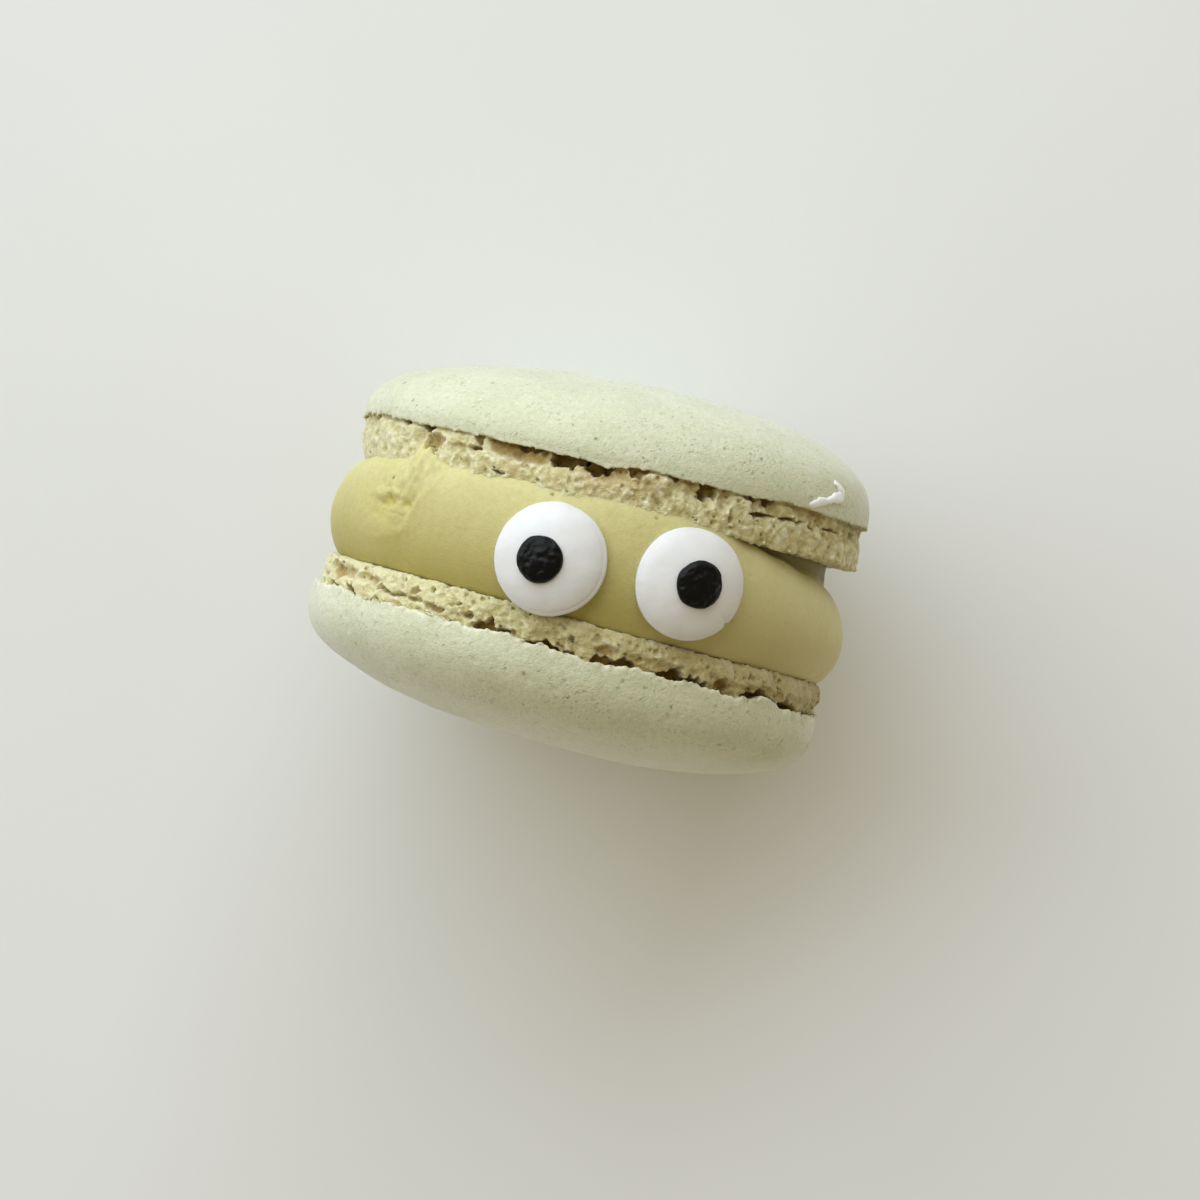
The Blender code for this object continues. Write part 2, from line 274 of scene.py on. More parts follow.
def shell_piece(name, spec):
    """A macaron shell: smooth dome on top, spongy foot cut out of a fine grid below.
    Grid axes: angle round the rim, height above the base plane, depth in from the rim."""
    R, F, H, power = spec["R"], spec["F"], spec["H"], spec["power"]
    seed = spec["seed"]
    n = COLUMNS
    theta = np.arange(n) * 2 * math.pi / n
    top = F + 1.35
    hs = np.arange(-0.6, top + 0.01, VOXEL)
    ds = np.concatenate([np.arange(-0.60, 2.05, 0.12), [2.3, 2.6, 3.0, 3.6]])

    def env(h):
        """Outer radius at height h above the base."""
        hp = np.clip(h - F, 0, H)
        r = R * (1 - (hp / H) ** power) ** (1 / power)
        return r - spec["curl"] * np.clip((1.5 - (h - F)) / 1.5, 0, 1) ** 2

    T, Hh = np.meshgrid(theta, hs, indexing="ij")
    ring = np.stack([env(Hh) * np.sin(T), Hh, env(Hh) * np.cos(T)], -1)
    along = np.stack([R * np.sin(T), Hh * 0.45, R * np.cos(T)], -1)     # stretched upwards
    S = F - spec["drop"] + spec["skirt"](theta)[:, None] \
        + spec["ragged"] * spec["even"](theta)[:, None] * (fbm(ring * [1, 0, 1], 0.7, seed + 1, 3) - 0.5)
    share = np.clip(Hh / S, 0, 1.2)

    # everything below is read at places pushed about a little, so that no edge is smooth
    push_a = 1.5 * (fbm(ring, 1.3, seed + 40, 3, 0.62) - 0.5)
    push_h = 1.1 * (fbm(ring, 1.1, seed + 45, 3, 0.62) - 0.5)
    Tw, Hw = T + push_a / R, Hh + push_h

    # depth of the foot's outer face
    D = spec["inset"](theta)[:, None] + spec["lean"](theta)[:, None] * (1 - share)
    D = D - 0.20 * np.sin(math.pi * np.clip(share, 0, 1)) ** 0.8
    D = D + 0.90 * (fbm(ring, 2.6, seed + 7, 3, 0.55) - 0.5)
    pleats = spec["pleats"](theta)[:, None]
    D = D + pleats * (vnoise(along, 0.55, seed + 8) - 0.5)
    # the upper part of the foot stands back in places, under the skirt
    recess = spec["recess"](theta)[:, None]
    patchy = sstep(0.36, 0.62, fbm(ring * [1, 0.4, 1], 2.4, seed + 3, 2))
    D = D + recess * patchy * sstep(0.50, 0.72, Hw / S)
    D = D + 0.16 * sstep(-0.10, 0.06, Hh - (S - 0.16))
    # slits that open right under the skirt: (angle, half width, height, depth)
    for where, hw, hgt, slit in spec["slits"]:
        du = np.abs(wrap(Tw - math.radians(where))) * R / hw
        local = hgt * np.clip(1 - du ** 2.4, 0, 1) ** 0.6
        local = local * (0.45 + 1.0 * vnoise(ring * [1, 0, 1], 0.42, seed + 4)) - 0.10 * (du > 1)
        D = np.maximum(D, (D + slit) * sstep(-0.08, 0.08, Hh + 0.6 * push_h - (S - local)) * (du < 1.05))
    # hollows and slits: (angle, height, half width, half height, depth, roughness)
    for where, hh, hw, hv, depth in spec["hollows"]:
        du = np.abs(wrap(Tw - math.radians(where))) * R / hw
        dv = np.abs(Hw - hh) / hv
        q = (du ** 2.2 + dv ** 2.0) ** (1 / 2.1)
        D = np.maximum(D, D + depth * (1 - sstep(0.55, 1.15, q)))
    lower_edge = 0.22 * (fbm(ring * [1, 0, 1], 0.6, seed + 11, 3) - 0.5) + spec["base"](theta)[:, None]

    Dm = D[:, :, None]
    depth = ds[None, None, :]
    foot = smin(depth - Dm, Hh[:, :, None] - lower_edge[:, :, None], 0.35)
    crust = smin(np.broadcast_to(depth, foot.shape),
                 Hh[:, :, None] - S[:, :, None] - 0.30 * np.clip(depth, 0, 3), 0.12)
    field = smax(foot, crust, 0.06).astype(np.float32)
    # crumb: round grains of two sizes with creases between them, and small bubbles
    below = (1 - sstep(-0.06, 0.16, Hh - S))[:, :, None]
    near = np.abs(field) < 0.85
    idx = np.nonzero(near)
    r3 = env(Hh)[idx[0], idx[1]] - ds[idx[2]]
    p3 = np.stack([r3 * np.sin(theta[idx[0]]), hs[idx[1]], r3 * np.cos(theta[idx[0]])], -1)

    def crumb(q):
        bent = q + 0.5 * np.stack([vnoise(q, 0.8, seed + k) - 0.5 for k in (50, 51, 52)], -1)
        big = 0.47 - cells(bent, 0.95, seed + 14)[0]
        small = 0.47 - cells(bent, 0.50, seed + 17)[0]
        fine = fbm(q, 0.52, seed + 13, 2, 0.7) - 0.5
        return spec["big_grain"] * big + 0.17 * small + 0.24 * fine

    grain = crumb(p3)
    c1 = cells(p3, 0.74, seed + 18)[0]
    grain = grain - 0.42 * (1 - sstep(0.14, 0.40, c1)) * sstep(0.50, 0.60, vnoise(p3, 1.7, seed + 15))
    w = np.broadcast_to(below, field.shape)[idx] * spec["crumb"]
    field[idx] += (grain * w).astype(np.float32)
    rough_edge = (fbm(p3, 0.5, seed + 16, 2) - 0.5) * spec["crumbly"] * spec["even"](theta[idx[0]]) * (1 - sstep(0.0, 0.6, np.abs(
        (Hh - S)[idx[0], idx[1]])))
    field[idx] += rough_edge.astype(np.float32)

    verts, quads, table = surface_nets(field)
    vi, vj, vk = verts[:, 0], verts[:, 1], verts[:, 2]
    th = vi * 2 * math.pi / n
    h = np.interp(vj, np.arange(len(hs)), hs)
    d = np.interp(vk, np.arange(len(ds)), ds)
    column = np.round(vi).astype(int) % n
    s_here = S[column, np.clip(np.round(vj).astype(int), 0, len(hs) - 1)]
    crustness = sstep(-0.05, 0.08, h - s_here) * (1 - sstep(0.10, 0.22, d))
    lean_here = spec["inset"](th) + spec["lean"](th) * (1 - np.clip(h / s_here, 0, 1))
    # depth into the foot: paints the hollows tan and darker, partly the crumb's own tan, partly painted shade
    hollow_tan_and_shade = np.clip((d - lean_here - 0.12) / 1.2, 0, 1) * (1 - crustness) * sstep(0.05, 0.35, h)
    rim = np.exp(-((h - s_here - 0.05) / 0.34) ** 2) * (1 - sstep(0.15, 0.4, d)) * spec["pale_edge"] \
        * sstep(0.3, 0.6, fbm(np.stack([R * np.sin(th), h, R * np.cos(th)], -1), 1.2, seed + 30, 2))
    # painted shade: a thin dark line right under the skirt's edge
    under_lip_shade = np.exp(-((h - s_here + 0.03) / 0.15) ** 2) * (1 - sstep(0.3, 0.6, d)) * spec["under_lip_shade_strength"]
    # painted highlight on the raised crumbs, painted shade in the gaps between them
    rv = env(h) - d
    crumb_highlight_and_shade = np.clip(0.5 + 2.6 * crumb(np.stack([rv * np.sin(th), h, rv * np.cos(th)], -1)), 0, 1)

    # the dome above the grid: one column to each column of cells
    rows = []
    last = table[:, -1, :]
    seam = last.max(axis=1)                 # the one vertex of each column on the outside
    assert (seam >= 0).all()
    t0 = (hs[-2] + hs[-1]) / 2
    hp0 = (t0 - F) / H
    phi0 = math.asin(min(1.0, hp0 ** (power / 2)))
    dome_h, dome_r, spacing = [], [], []
    phi = phi0
    step = 0.17
    while True:
        # advance by about one step of arc
        rr = R * math.cos(phi) ** (2 / power)
        hh = H * math.sin(phi) ** (2 / power)
        lo, hi = phi, min(math.pi / 2, phi + 0.35)
        for _ in range(26):
            mid = (lo + hi) / 2
            r2 = R * math.cos(mid) ** (2 / power)
            h2 = H * math.sin(mid) ** (2 / power)
            if math.hypot(r2 - rr, h2 - hh) < step:
                lo = mid
            else:
                hi = mid
        phi = (lo + hi) / 2
        r2 = R * math.cos(phi) ** (2 / power)
        h2 = H * math.sin(phi) ** (2 / power)
        if r2 < 0.9:
            break
        dome_r.append(r2)
        dome_h.append(F + h2)
        step = min(0.62, step * 1.035)
    all_th, all_h, all_d, extra_q, extra_t = [th], [h], [d], [], []
    offset = len(th)
    previous, cols = seam, n
    prev_th = (np.arange(n) + 0.5) * 2 * math.pi / n
    radius_extra = [None]
    all_r = [env(h) - d]
    for r2, h2 in zip(dome_r, dome_h):
        target = n if len(all_r) < 4 else n // 2 if r2 > 12 else n // 4 if r2 > 5 else n // 8
        if target < cols:
            cols = target
            now = offset + np.arange(cols)
            a = previous.reshape(cols, 2)
            mid_th = (np.arange(cols) + 0.5) * 2 * math.pi / cols
            right = np.roll(a[:, 0], -1)
            extra_t.append(np.stack([a[:, 0], a[:, 1], now], 1))
            extra_q.append(np.stack([a[:, 1], right, np.roll(now, -1), now], 1))
        else:
            now = offset + np.arange(cols)
            mid_th = (np.arange(cols) + 0.5) * 2 * math.pi / cols
            extra_q.append(np.stack([previous, np.roll(previous, -1), np.roll(now, -1), now], 1))
        all_th.append(mid_th)
        all_h.append(np.full(cols, h2))
        all_d.append(np.zeros(cols))
        all_r.append(np.full(cols, r2))
        offset += cols
        previous = now
    # pole
    all_th.append([0.0]); all_h.append([F + H]); all_d.append([0.0]); all_r.append([0.0])
    extra_t.append(np.stack([previous, np.roll(previous, -1), np.full(cols, offset)], 1))
    offset += 1
    # the flat underside, hidden against the filling
    under = table[:, :, -1].max(axis=1)
    all_th.append([0.0]); all_h.append([0.0]); all_d.append([R]); all_r.append([0.0])
    extra_t.append(np.stack([np.roll(under, -1), under, np.full(n, offset)], 1))
    offset += 1

    th = np.concatenate(all_th); h = np.concatenate(all_h)
    d = np.concatenate(all_d); r = np.concatenate(all_r)
    extra = offset - len(crustness)
    crustness = np.concatenate([crustness, np.ones(extra)])
    hollow_tan_and_shade = np.concatenate([hollow_tan_and_shade, np.zeros(extra)])
    rim = np.concatenate([rim, np.zeros(extra)])
    under_lip_shade = np.concatenate([under_lip_shade, np.zeros(extra)])
    crumb_highlight_and_shade = np.concatenate([crumb_highlight_and_shade, np.zeros(extra)])
    quads = np.concatenate([quads] + extra_q)
    tris = np.concatenate(extra_t)
    keep = biggest_part(len(th), quads, tris)
    remap = np.cumsum(keep) - 1
    quads = remap[quads[keep[quads[:, 0]]]]
    tris = remap[tris[keep[tris[:, 0]]]]
    th, h, d, r, crustness, hollow_tan_and_shade, rim, under_lip_shade, crumb_highlight_and_shade = (
        a[keep] for a in (th, h, d, r, crustness, hollow_tan_and_shade, rim, under_lip_shade, crumb_highlight_and_shade))

    # gentle lumps and small dents of the dome
    p = np.stack([r * np.sin(th), h, r * np.cos(th)], -1)
    on_dome = crustness * sstep(-0.1, 0.9, h - F)
    lump = 0.26 * (fbm(p, 9.0, seed + 20, 2) - 0.5) + 0.10 * (fbm(p, 3.2, seed + 21, 2) - 0.5) \
        + 0.040 * (fbm(p, 0.9, seed + 22, 2) - 0.5)
    e1, e2 = cells(p, 2.4, seed + 23)
    pits = np.where(vnoise(p, 3.1, seed + 24) > 0.42, 1, 0) * (1 - sstep(0.07, 0.24, e1)) * 0.10
    shift = (lump - pits) * on_dome
    slope = np.clip((h - F) / H, 0, 1)
    nr = np.sqrt(np.clip(1 - slope ** 2, 0, 1))
    r = r + shift * nr
    h = h + shift * slope
    x, y, z = spec["place"](th, r, h)
    z = np.maximum(z, 0.0) + 0.0
    verts = np.stack([x, y, z], -1)
    if spec["flip"]:
        quads, tris = quads[:, ::-1], tris[:, ::-1]
    obj = new_mesh(name, verts, quads, tris,
                   {"crust": crustness, "hollow_tan_and_shade": hollow_tan_and_shade, "rim": rim, "under_lip_shade": under_lip_shade, "grain": crumb_highlight_and_shade})
    print(name, len(quads) * 2 + len(tris), "triangles")
    return obj


def upper_place(th, r, h):
    x = UP_X + r * np.sin(th)
    up = np.clip((h - 4.05) / 8.80 / 0.85, 0, 1)
    h = h + 0.95 * bell(th, -90, 42) * np.sin(math.pi * up ** 0.6)
    slant = 0.004 + 0.029 * sstep(4.0, 7.5, h)
    y = 4.95 + h + slant * (x - UP_X)
    z = AXLE + r * np.cos(th)
    return x, y, z


def lower_place(th, r, h):
    x = LO_X + r * np.sin(th)
    up = np.clip((h - 3.22) / 9.15 / 0.75, 0, 1)
    h = h + (0.35 + 0.50 * np.sin(th) ** 2) * np.sin(math.pi * up ** 0.55)
    y = -5.47 - h - (0.035 + 0.006 * sstep(3.4, 6.5, h)) * (x - LO_X)
    z = AXLE + r * np.cos(th)
    return x, y, z


def upper_skirt(t):
    return (0.03 * np.sin(t) + 0.08 * np.sin(5 * t + 1.0) + 0.06 * np.sin(9 * t)
            - 0.50 * bell(t, -2, 4.5) - 0.22 * bell(t, -12, 4) - 0.16 * bell(t, -23, 5)
            + 0.30 * bell(t, 42, 9) - 0.10 * bell(t, 15, 5))


def lower_skirt(t):
    return (0.07 * np.sin(6 * t + 0.5) + 0.06 * np.sin(11 * t)
            - 0.45 * bell(t, -61, 5) - 0.30 * bell(t, -12.6, 2.2) - 0.45 * bell(t, 16, 4)
            - 0.30 * bell(t, 30, 6) - 0.55 * bell(t, 50, 4))


# Hollows of the feet, read off: angle round the rim from its top,
# height above the foot's base, half width, half height, depth
UPPER_HOLLOWS = [
    (-43.1, 2.55, 1.60, 0.80, 0.75), (-35.1, 2.30, 0.95, 0.50, 0.50), (-31.6, 2.70, 0.80, 0.22, 0.9),
    (-24.4, 0.98, 0.80, 0.13, 0.9), (26.8, 1.85, 0.38, 0.62, 0.8), (10.5, 1.6, 0.5, 0.4, 0.3),
    (35.3, 2.62, 1.80, 0.15, 1.2), (43.3, 2.95, 1.90, 0.15, 1.2), (50.9, 2.75, 0.70, 0.20, 1.4),
    (72.5, 3.05, 1.60, 0.24, 1.3), (60.0, 2.90, 1.60, 0.14, 0.9),
    (-66, 2.2, 0.35, 0.5, 0.35), (-75, 1.4, 0.3, 0.7, 0.3), (-58, 1.5, 0.3, 0.4, 0.3),
    # round the back, where the photograph does not reach
    (131, 2.3, 0.9, 0.5, 0.7), (-160, 2.6, 1.1, 0.4, 0.8), (-127, 2.6, 1.0, 0.6, 0.7), (-88, 2.2, 0.7, 0.5, 0.5),
    (104, 1.6, 0.4, 0.4, 0.5), (155, 1.5, 0.4, 0.3, 0.5), (172, 2.2, 0.7, 0.35, 0.7), (-143, 1.7, 0.5, 0.3, 0.5),
    (-112, 1.4, 0.4, 0.35, 0.5),
]
UPPER_SLITS = [
    (-53.2, 1.10, 0.42, 0.8), (-46.1, 1.15, 0.55, 0.9), (-30.4, 0.60, 0.90, 0.6), (-19.7, 1.35, 0.48, 0.75),
    (-10.5, 1.90, 1.00, 2.0), (-3.6, 1.70, 0.95, 2.0), (4.9, 0.95, 0.85, 1.0), (20.9, 0.90, 1.25, 1.2),
    (30.6, 0.80, 0.55, 0.8), (36.1, 0.70, 0.75, 0.9), (12.8, 0.7, 0.4, 0.7),
    (98, 1.6, 0.6, 1.3), (117, 2.2, 0.6, 1.6), (146, 1.9, 0.5, 1.4), (163, 1.2, 0.8, 1.1), (-178, 2.4, 0.5, 1.6),
    (-143, 2.2, 0.55, 1.7), (-113, 1.7, 0.6, 1.3), (-95, 1.2, 0.4, 1.1),
]
LOWER_HOLLOWS = [
    (-68.0, 1.35, 2.0, 0.95, 1.0), (-61.0, 1.30, 1.6, 0.70, 0.75), (-52.0, 1.45, 2.0, 0.50, 0.65),
    (-47.0, 1.95, 1.3, 0.24, 0.7), (-41.5, 2.05, 1.3, 0.22, 0.7), (-35.5, 2.15, 1.2, 0.24, 0.8), (-30.0, 2.2, 1.2, 0.26, 0.9), (-39.9, 0.35, 0.26, 0.30, 0.6),
    (-35.8, 1.30, 0.55, 0.42, 0.75), (-31.5, 0.85, 0.40, 0.34, 0.7), (-28.7, 0.30, 0.24, 0.2, 0.5),
    (-24.8, 1.25, 0.34, 0.2, 0.7), (-26.2, 1.55, 0.38, 0.2, 0.6), (-21.8, 2.00, 0.65, 0.38, 0.9),
    (-10.8, 2.60, 0.50, 0.34, 0.6), (1.7, 1.65, 0.45, 0.26, 0.7), (6.3, 1.20, 0.35, 0.34, 0.45),
    (8.6, 2.15, 1.00, 0.58, 0.7), (37.9, 2.35, 0.80, 0.6, 0.9), (-78.0, 2.20, 1.2, 0.3, 0.8),
    (-45, 2.1, 0.9, 0.25, 0.6), (-1.5, 1.0, 0.3, 0.2, 0.5), (20, 1.2, 0.35, 0.3, 0.4), (45, 1.0, 0.4, 0.3, 0.4),
    # round the back
    (150, 2.0, 0.9, 0.5, 0.8), (-139, 1.9, 0.8, 0.5, 0.7), (-90, 1.2, 1.4, 0.5, 0.5), (104, 1.2, 0.5, 0.35, 0.6),
    (124, 1.0, 0.3, 0.25, 0.5), (-165, 1.0, 0.4, 0.3, 0.6), (-118, 1.1, 0.4, 0.3, 0.5),
]
LOWER_SLITS = [
    (-70, 1.2, 0.5, 0.7), (-58.5, 0.8, 0.45, 0.8), (-48.5, 0.6, 0.4, 0.6), (-17.9, 1.20, 1.10, 1.3),
    (-13.6, 0.60, 0.30, 1.2), (-4.7, 1.70, 0.42, 1.6), (1.5, 0.6, 0.3, 1.0), (8.6, 1.05, 0.60, 1.2),
    (13.8, 1.35, 0.55, 1.6), (24.5, 1.45, 0.85, 2.0), (30.9, 1.35, 0.60, 1.7), (37.9, 0.6, 0.25, 0.8),
    (48.2, 2.00, 0.65, 1.8), (60.7, 2.70, 0.60, 1.7), (75, 1.2, 0.4, 1.2),
    (96, 2.2, 0.55, 1.5), (115, 1.5, 0.5, 1.2), (131, 2.6, 0.5, 1.6), (166, 2.1, 0.55, 1.4), (-176, 1.4, 0.5, 1.3),
    (-158, 2.3, 0.5, 1.6), (-124, 2.0, 0.5, 1.4), (-105, 1.6, 0.5, 1.3),
]

upper_spec = {
    "R": UP_R, "F": 4.05, "H": 8.80, "power": 2.3, "seed": 100, "curl": 0.10, "flip": False,
    "skirt": upper_skirt, "drop": 0.05, "ragged": 0.14, "crumbly": 0.06, "crumb": 0.95, "big_grain": 0.30,
    "pale_edge": 0.15, "under_lip_shade_strength": 0.9,
    "inset": lambda t: 0.26 + 0.10 * np.sin(t - 0.4) + 0.62 * bell(t, 88, 26) + 0.10 * np.sin(3 * t),
    "lean": lambda t: 0.20 - 0.10 * np.sin(t) - 0.75 * bell(t, 88, 26) + 0.55 * bell(t, -86, 26),
    "recess": lambda t: 0.25 + 0.75 * bell(t, -28, 26) + 0.30 * bell(t, 30, 20) + 0.45 * bell(t, 180, 80),
    "pleats": lambda t: 0.14 + 0.30 * bell(t, 68, 24) + 0.26 * bell(t, -72, 20) + 0.16 * bell(t, 170, 50),
    "hollows": UPPER_HOLLOWS, "slits": UPPER_SLITS, "place": upper_place,
    "even": lambda t: 1 - 0.85 * bell(t, -76, 24),
    "base": lambda t: 0.05 * np.sin(4 * t) * (1 - bell(t, 65, 30)),
}
lower_spec = {
    "R": LO_R, "F": 3.22, "H": 9.15, "power": 2.55, "seed": 500, "curl": 0.10, "flip": True,
    "skirt": lower_skirt, "drop": 0.20, "ragged": 0.62, "crumbly": 0.42, "crumb": 0.95, "big_grain": 0.16,
    "pale_edge": 1.0, "under_lip_shade_strength": 0.12,
    "recess": lambda t: 0.20 + 0.45 * bell(t, 35, 35) + 0.35 * bell(t, 180, 70),
    "inset": lambda t: 0.55 - 0.20 * np.sin(t) + 0.08 * np.sin(3 * t + 1),
    "lean": lambda t: 0.18 + 0.0 * t,
    "pleats": lambda t: 0.12 + 0.18 * bell(t, 80, 14) + 0.12 * bell(t, -170, 40),
    "hollows": LOWER_HOLLOWS, "slits": LOWER_SLITS, "place": lower_place,
    "even": lambda t: 1 + 0 * t,
    "base": lambda t: 0.04 * np.sin(5 * t),
}
upper = shell_piece("crust_upper", upper_spec)
lower = shell_piece("crust_lower", lower_spec)


# -------------------------------------------------------------------- filling
def angle_curve(theta, points):
    """Smooth periodic curve through (degrees, value) points."""
    deg = np.array([p[0] for p in points], float)
    val = np.array([p[1] for p in points], float)
    deg = np.concatenate([deg - 360, deg, deg + 360])
    val = np.concatenate([val, val, val])
    t = np.degrees(wrap(theta))
    i = np.clip(np.searchsorted(deg, t, side="right") - 1, 0, len(deg) - 2)
    s = (t - deg[i]) / (deg[i + 1] - deg[i])
    s = s * s * (3 - 2 * s)
    return val[i] * (1 - s) + val[i + 1] * s


def filling_piece():
    n = 860
    theta = np.arange(n) * 2 * math.pi / n
    y_top = angle_curve(theta, [(-150, 4.9), (-100, 4.8), (-82, 4.85), (-55, 5.5), (-30, 5.6), (-10, 5.8),
                                (12, 5.85), (25, 5.9), (35, 4.95), (48, 4.2), (62, 3.4), (80, 2.9),
                                (100, 2.8), (120, 3.6), (150, 4.9)])
    r_top = angle_curve(theta, [(-150, 23.7), (-100, 23.4), (-80, 23.4), (-55, 24.0), (-30, 24.35), (10, 24.5),
                                (26, 24.3), (38, 23.4), (55, 22.8), (80, 22.6), (105, 22.6), (125, 23.0),
                                (150, 23.7)])
    # a tongue of it is smeared up over the foot of the upper shell
    rim_mm = wrap(theta) * FILL_R
    tongue = np.exp(-np.abs((np.degrees(wrap(theta)) + 42.3) / 4.4) ** 2.6)
    peaks = np.stack([rim_mm, 0 * rim_mm, 0 * rim_mm], -1)
    y_top = y_top + 0.62 * tongue + 1.05 * bell(theta, -43.9, 1.05) + 0.80 * bell(theta, -41.5, 0.95) \
        + 0.30 * bell(theta, -39.4, 0.8) + tongue * 1.1 * (fbm(peaks, 0.55, 70, 3, 0.6) - 0.5)
    r_top = r_top + tongue * 0.85
    x_rim = FILL_R * np.sin(theta)
    y_bot = -5.47 - 0.035 * x_rim + angle_curve(theta, [(-90, -0.10), (-70, -0.10), (-40, 0.10), (0, -0.05),
                                                          (40, 0.1), (90, -0.05), (180, 0.0)])
    r_bot = 23.75 + 0.12 * np.sin(theta)
    full = FILL_R + 0.04 * np.sin(2 * theta + 0.4)
    arc = 84
    v = np.cos(np.linspace(0.10, math.pi - 0.10, arc)) / math.cos(0.10)
    v = 0.55 * v + 0.45 * np.linspace(1, -1, arc)
    V = v[None, :]
    yt, yb = y_top[:, None], y_bot[:, None]
    Y = (yt + yb) / 2 + (yt - yb) / 2 * V
    base = r_top[:, None] * (1 + V) / 2 + r_bot[:, None] * (1 - V) / 2
    mid = (r_top + r_bot)[:, None] / 2
    Rr = base + (full[:, None] - mid) * (1 - V ** 2) ** 0.80
    T = np.broadcast_to(theta[:, None], Y.shape)
    a = wrap(T) * FILL_R                     # millimetres along the rim from its top
    p = np.stack([FILL_R * np.sin(T), Y, FILL_R * np.cos(T)], -1)

    def along(deg):
        return math.radians(deg) * FILL_R

    shift = 0.20 * (fbm(p, 7.0, 40, 2) - 0.5)
    shift += 0.035 * (fbm(p * [1, 0.35, 1], 1.1, 41, 2) - 0.5)
    shift += 0.014 * (vnoise(p, 0.45, 42) - 0.5)
    # the torn patch: rough lower ground, ending at the right in an oblique step
    bent = 1.6 * (fbm(p, 1.7, 43, 3, 0.6) - 0.5)
    bent2 = 1.6 * (fbm(p, 1.7, 49, 3, 0.6) - 0.5)
    pa, py = a + bent, Y + bent2
    edge_x = along(-42.6) + (Y - 0.25) / (3.29 - 0.25) * (along(-38.2) - along(-42.6))
    left_of = sstep(-0.45, 0.75, edge_x - a - 0.9 * bent)
    patch = np.exp(-(np.abs((pa - along(-48.5)) / 4.9) ** 3.2 + np.abs((py - 1.5) / 2.7) ** 3.2)) * left_of
    torn = fbm(p, 2.0, 44, 4, 0.55) - 0.5
    crease = 1 - np.abs(2 * fbm(p, 1.15, 71, 2) - 1)
    core_patch = np.exp(-(((pa - along(-48.6)) / 2.6) ** 2 + ((py - 1.3) / 1.9) ** 2))
    shift += patch * (-0.28 + (0.45 + 0.50 * core_patch) * torn - 0.22 * core_patch * sstep(0.80, 1.0, crease)
                      + 0.13 * core_patch * (vnoise(p, 0.36, 45) - 0.5))
    deep = np.exp(-(((pa - along(-48.8)) / 0.95) ** 2 + ((py - 1.10) / 0.60) ** 2))
    dip = np.exp(-(((pa - along(-43.4)) / 0.75) ** 2 + ((py - 1.3) / 0.40) ** 2))
    shift += -0.48 * deep - 0.34 * dip * left_of
    # its soft raised borders
    ridge = np.exp(-((a - edge_x - 0.15) / 0.28) ** 2) * np.exp(-(np.abs((Y - 1.9) / 1.5) ** 3))
    shift += 0.04 * ridge
    lump = np.exp(-((py - 1.9) / 0.35) ** 2) * np.exp(-(np.abs((pa - along(-52)) / 2.0) ** 3))
    shift += 0.22 * lump
    low_y = -1.55 + 0.22 * (a - along(-47))
    low_edge = np.exp(-((py - low_y) / 0.50) ** 2) * np.exp(-(np.abs((a - along(-48)) / 3.0) ** 4))
    shift += 0.08 * low_edge
    # drawn-up folds that lead from it to the tongue
    sm = np.exp(-(np.abs((a - along(-43.0)) / 2.6) ** 2.5 + np.abs((Y - 4.6) / 2.2) ** 3))
    folds = fbm(p * [1, 0.45, 1], 1.1, 46, 3, 0.6) - 0.5
    shift += sm * (0.16 + 1.0 * folds)
    # knife marks along the macaron's axis
    streak = np.exp(-(((a - along(-27)) / 4.0) ** 2 + ((Y - 1.2) / 2.2) ** 2))
    shift += 0.09 * streak * (vnoise(p * [1, 0.16, 1], 0.65, 47) - 0.5)
    # tiny pits
    rng = np.random.RandomState(7)
    spots = [(-51.0, 3.5, 0.16, 0.16), (-10.6, 5.1, 0.14, 0.16), (11.9, 5.1, 0.12, 0.12)]
    spots += [(rng.uniform(-180, 180), rng.uniform(-4.5, 4.5), rng.uniform(0.10, 0.2), rng.uniform(0.05, 0.12))
              for _ in range(34)]
    for deg, yy, rad, deep_by in spots:
        da = wrap(T - math.radians(deg)) * FILL_R
        shift -= deep_by * np.exp(-((da / rad) ** 2 + ((Y - yy) / rad) ** 2))
    spot = np.zeros_like(Y)
    for deg, yy, rad, _ in spots[:3]:
        da = wrap(T - math.radians(deg)) * FILL_R
        spot = np.maximum(spot, np.exp(-((da / rad) ** 2 + ((Y - yy) / rad) ** 2)))
    fade = sstep(0, 0.06, 1 - np.abs(V))
    shift = shift * fade
    tear = np.clip(patch * (0.20 - 2.0 * torn) + 1.0 * deep + 0.8 * dip * left_of, 0, 1)
    # the normal of the tyre section, so that relief goes outwards
    dR = np.gradient(Rr, axis=1)
    dY = np.gradient(Y, axis=1)
    ln = np.sqrt(dR ** 2 + dY ** 2) + 1e-9
    nR, nY = -dY / ln, dR / ln
    Rr = Rr + shift * nR
    Y = Y + shift * nY

    rows_r, rows_y = [], []
    inner_top, inner_low = np.maximum(5.15, y_top - 0.12), -5.62
    core = 22.45 - 0.75 * bell(theta, 52, 16) - 0.5 * bell(theta, 130, 25)
    shares = np.array([0.0, 0.25, 0.5, 0.72, 0.88, 0.965, 0.992])
    for share in shares:
        rr = core + (r_top - core) * share ** 3
        yy = inner_top + (y_top - inner_top) * share
        rows_r.append(rr + 0.20 * (fbm(np.stack([22 * np.sin(theta), yy, 22 * np.cos(theta)], -1), 0.9, 48, 3) - 0.5)
                      * math.sin(math.pi * share))
        rows_y.append(yy)
    R_all = np.stack(rows_r, 1)
    Y_all = np.stack(rows_y, 1)
    low_share = np.linspace(0.2, 1, 5)
    low_r = np.stack([r_bot + (core - r_bot) * s for s in low_share], 1)
    low_y = np.stack([y_bot + (inner_low - 0.035 * x_rim - y_bot) * s ** 0.5 for s in low_share], 1)

    def with_ends(middle, first):
        return np.concatenate([np.full(R_all.shape, first), middle, np.zeros_like(low_r)], 1)

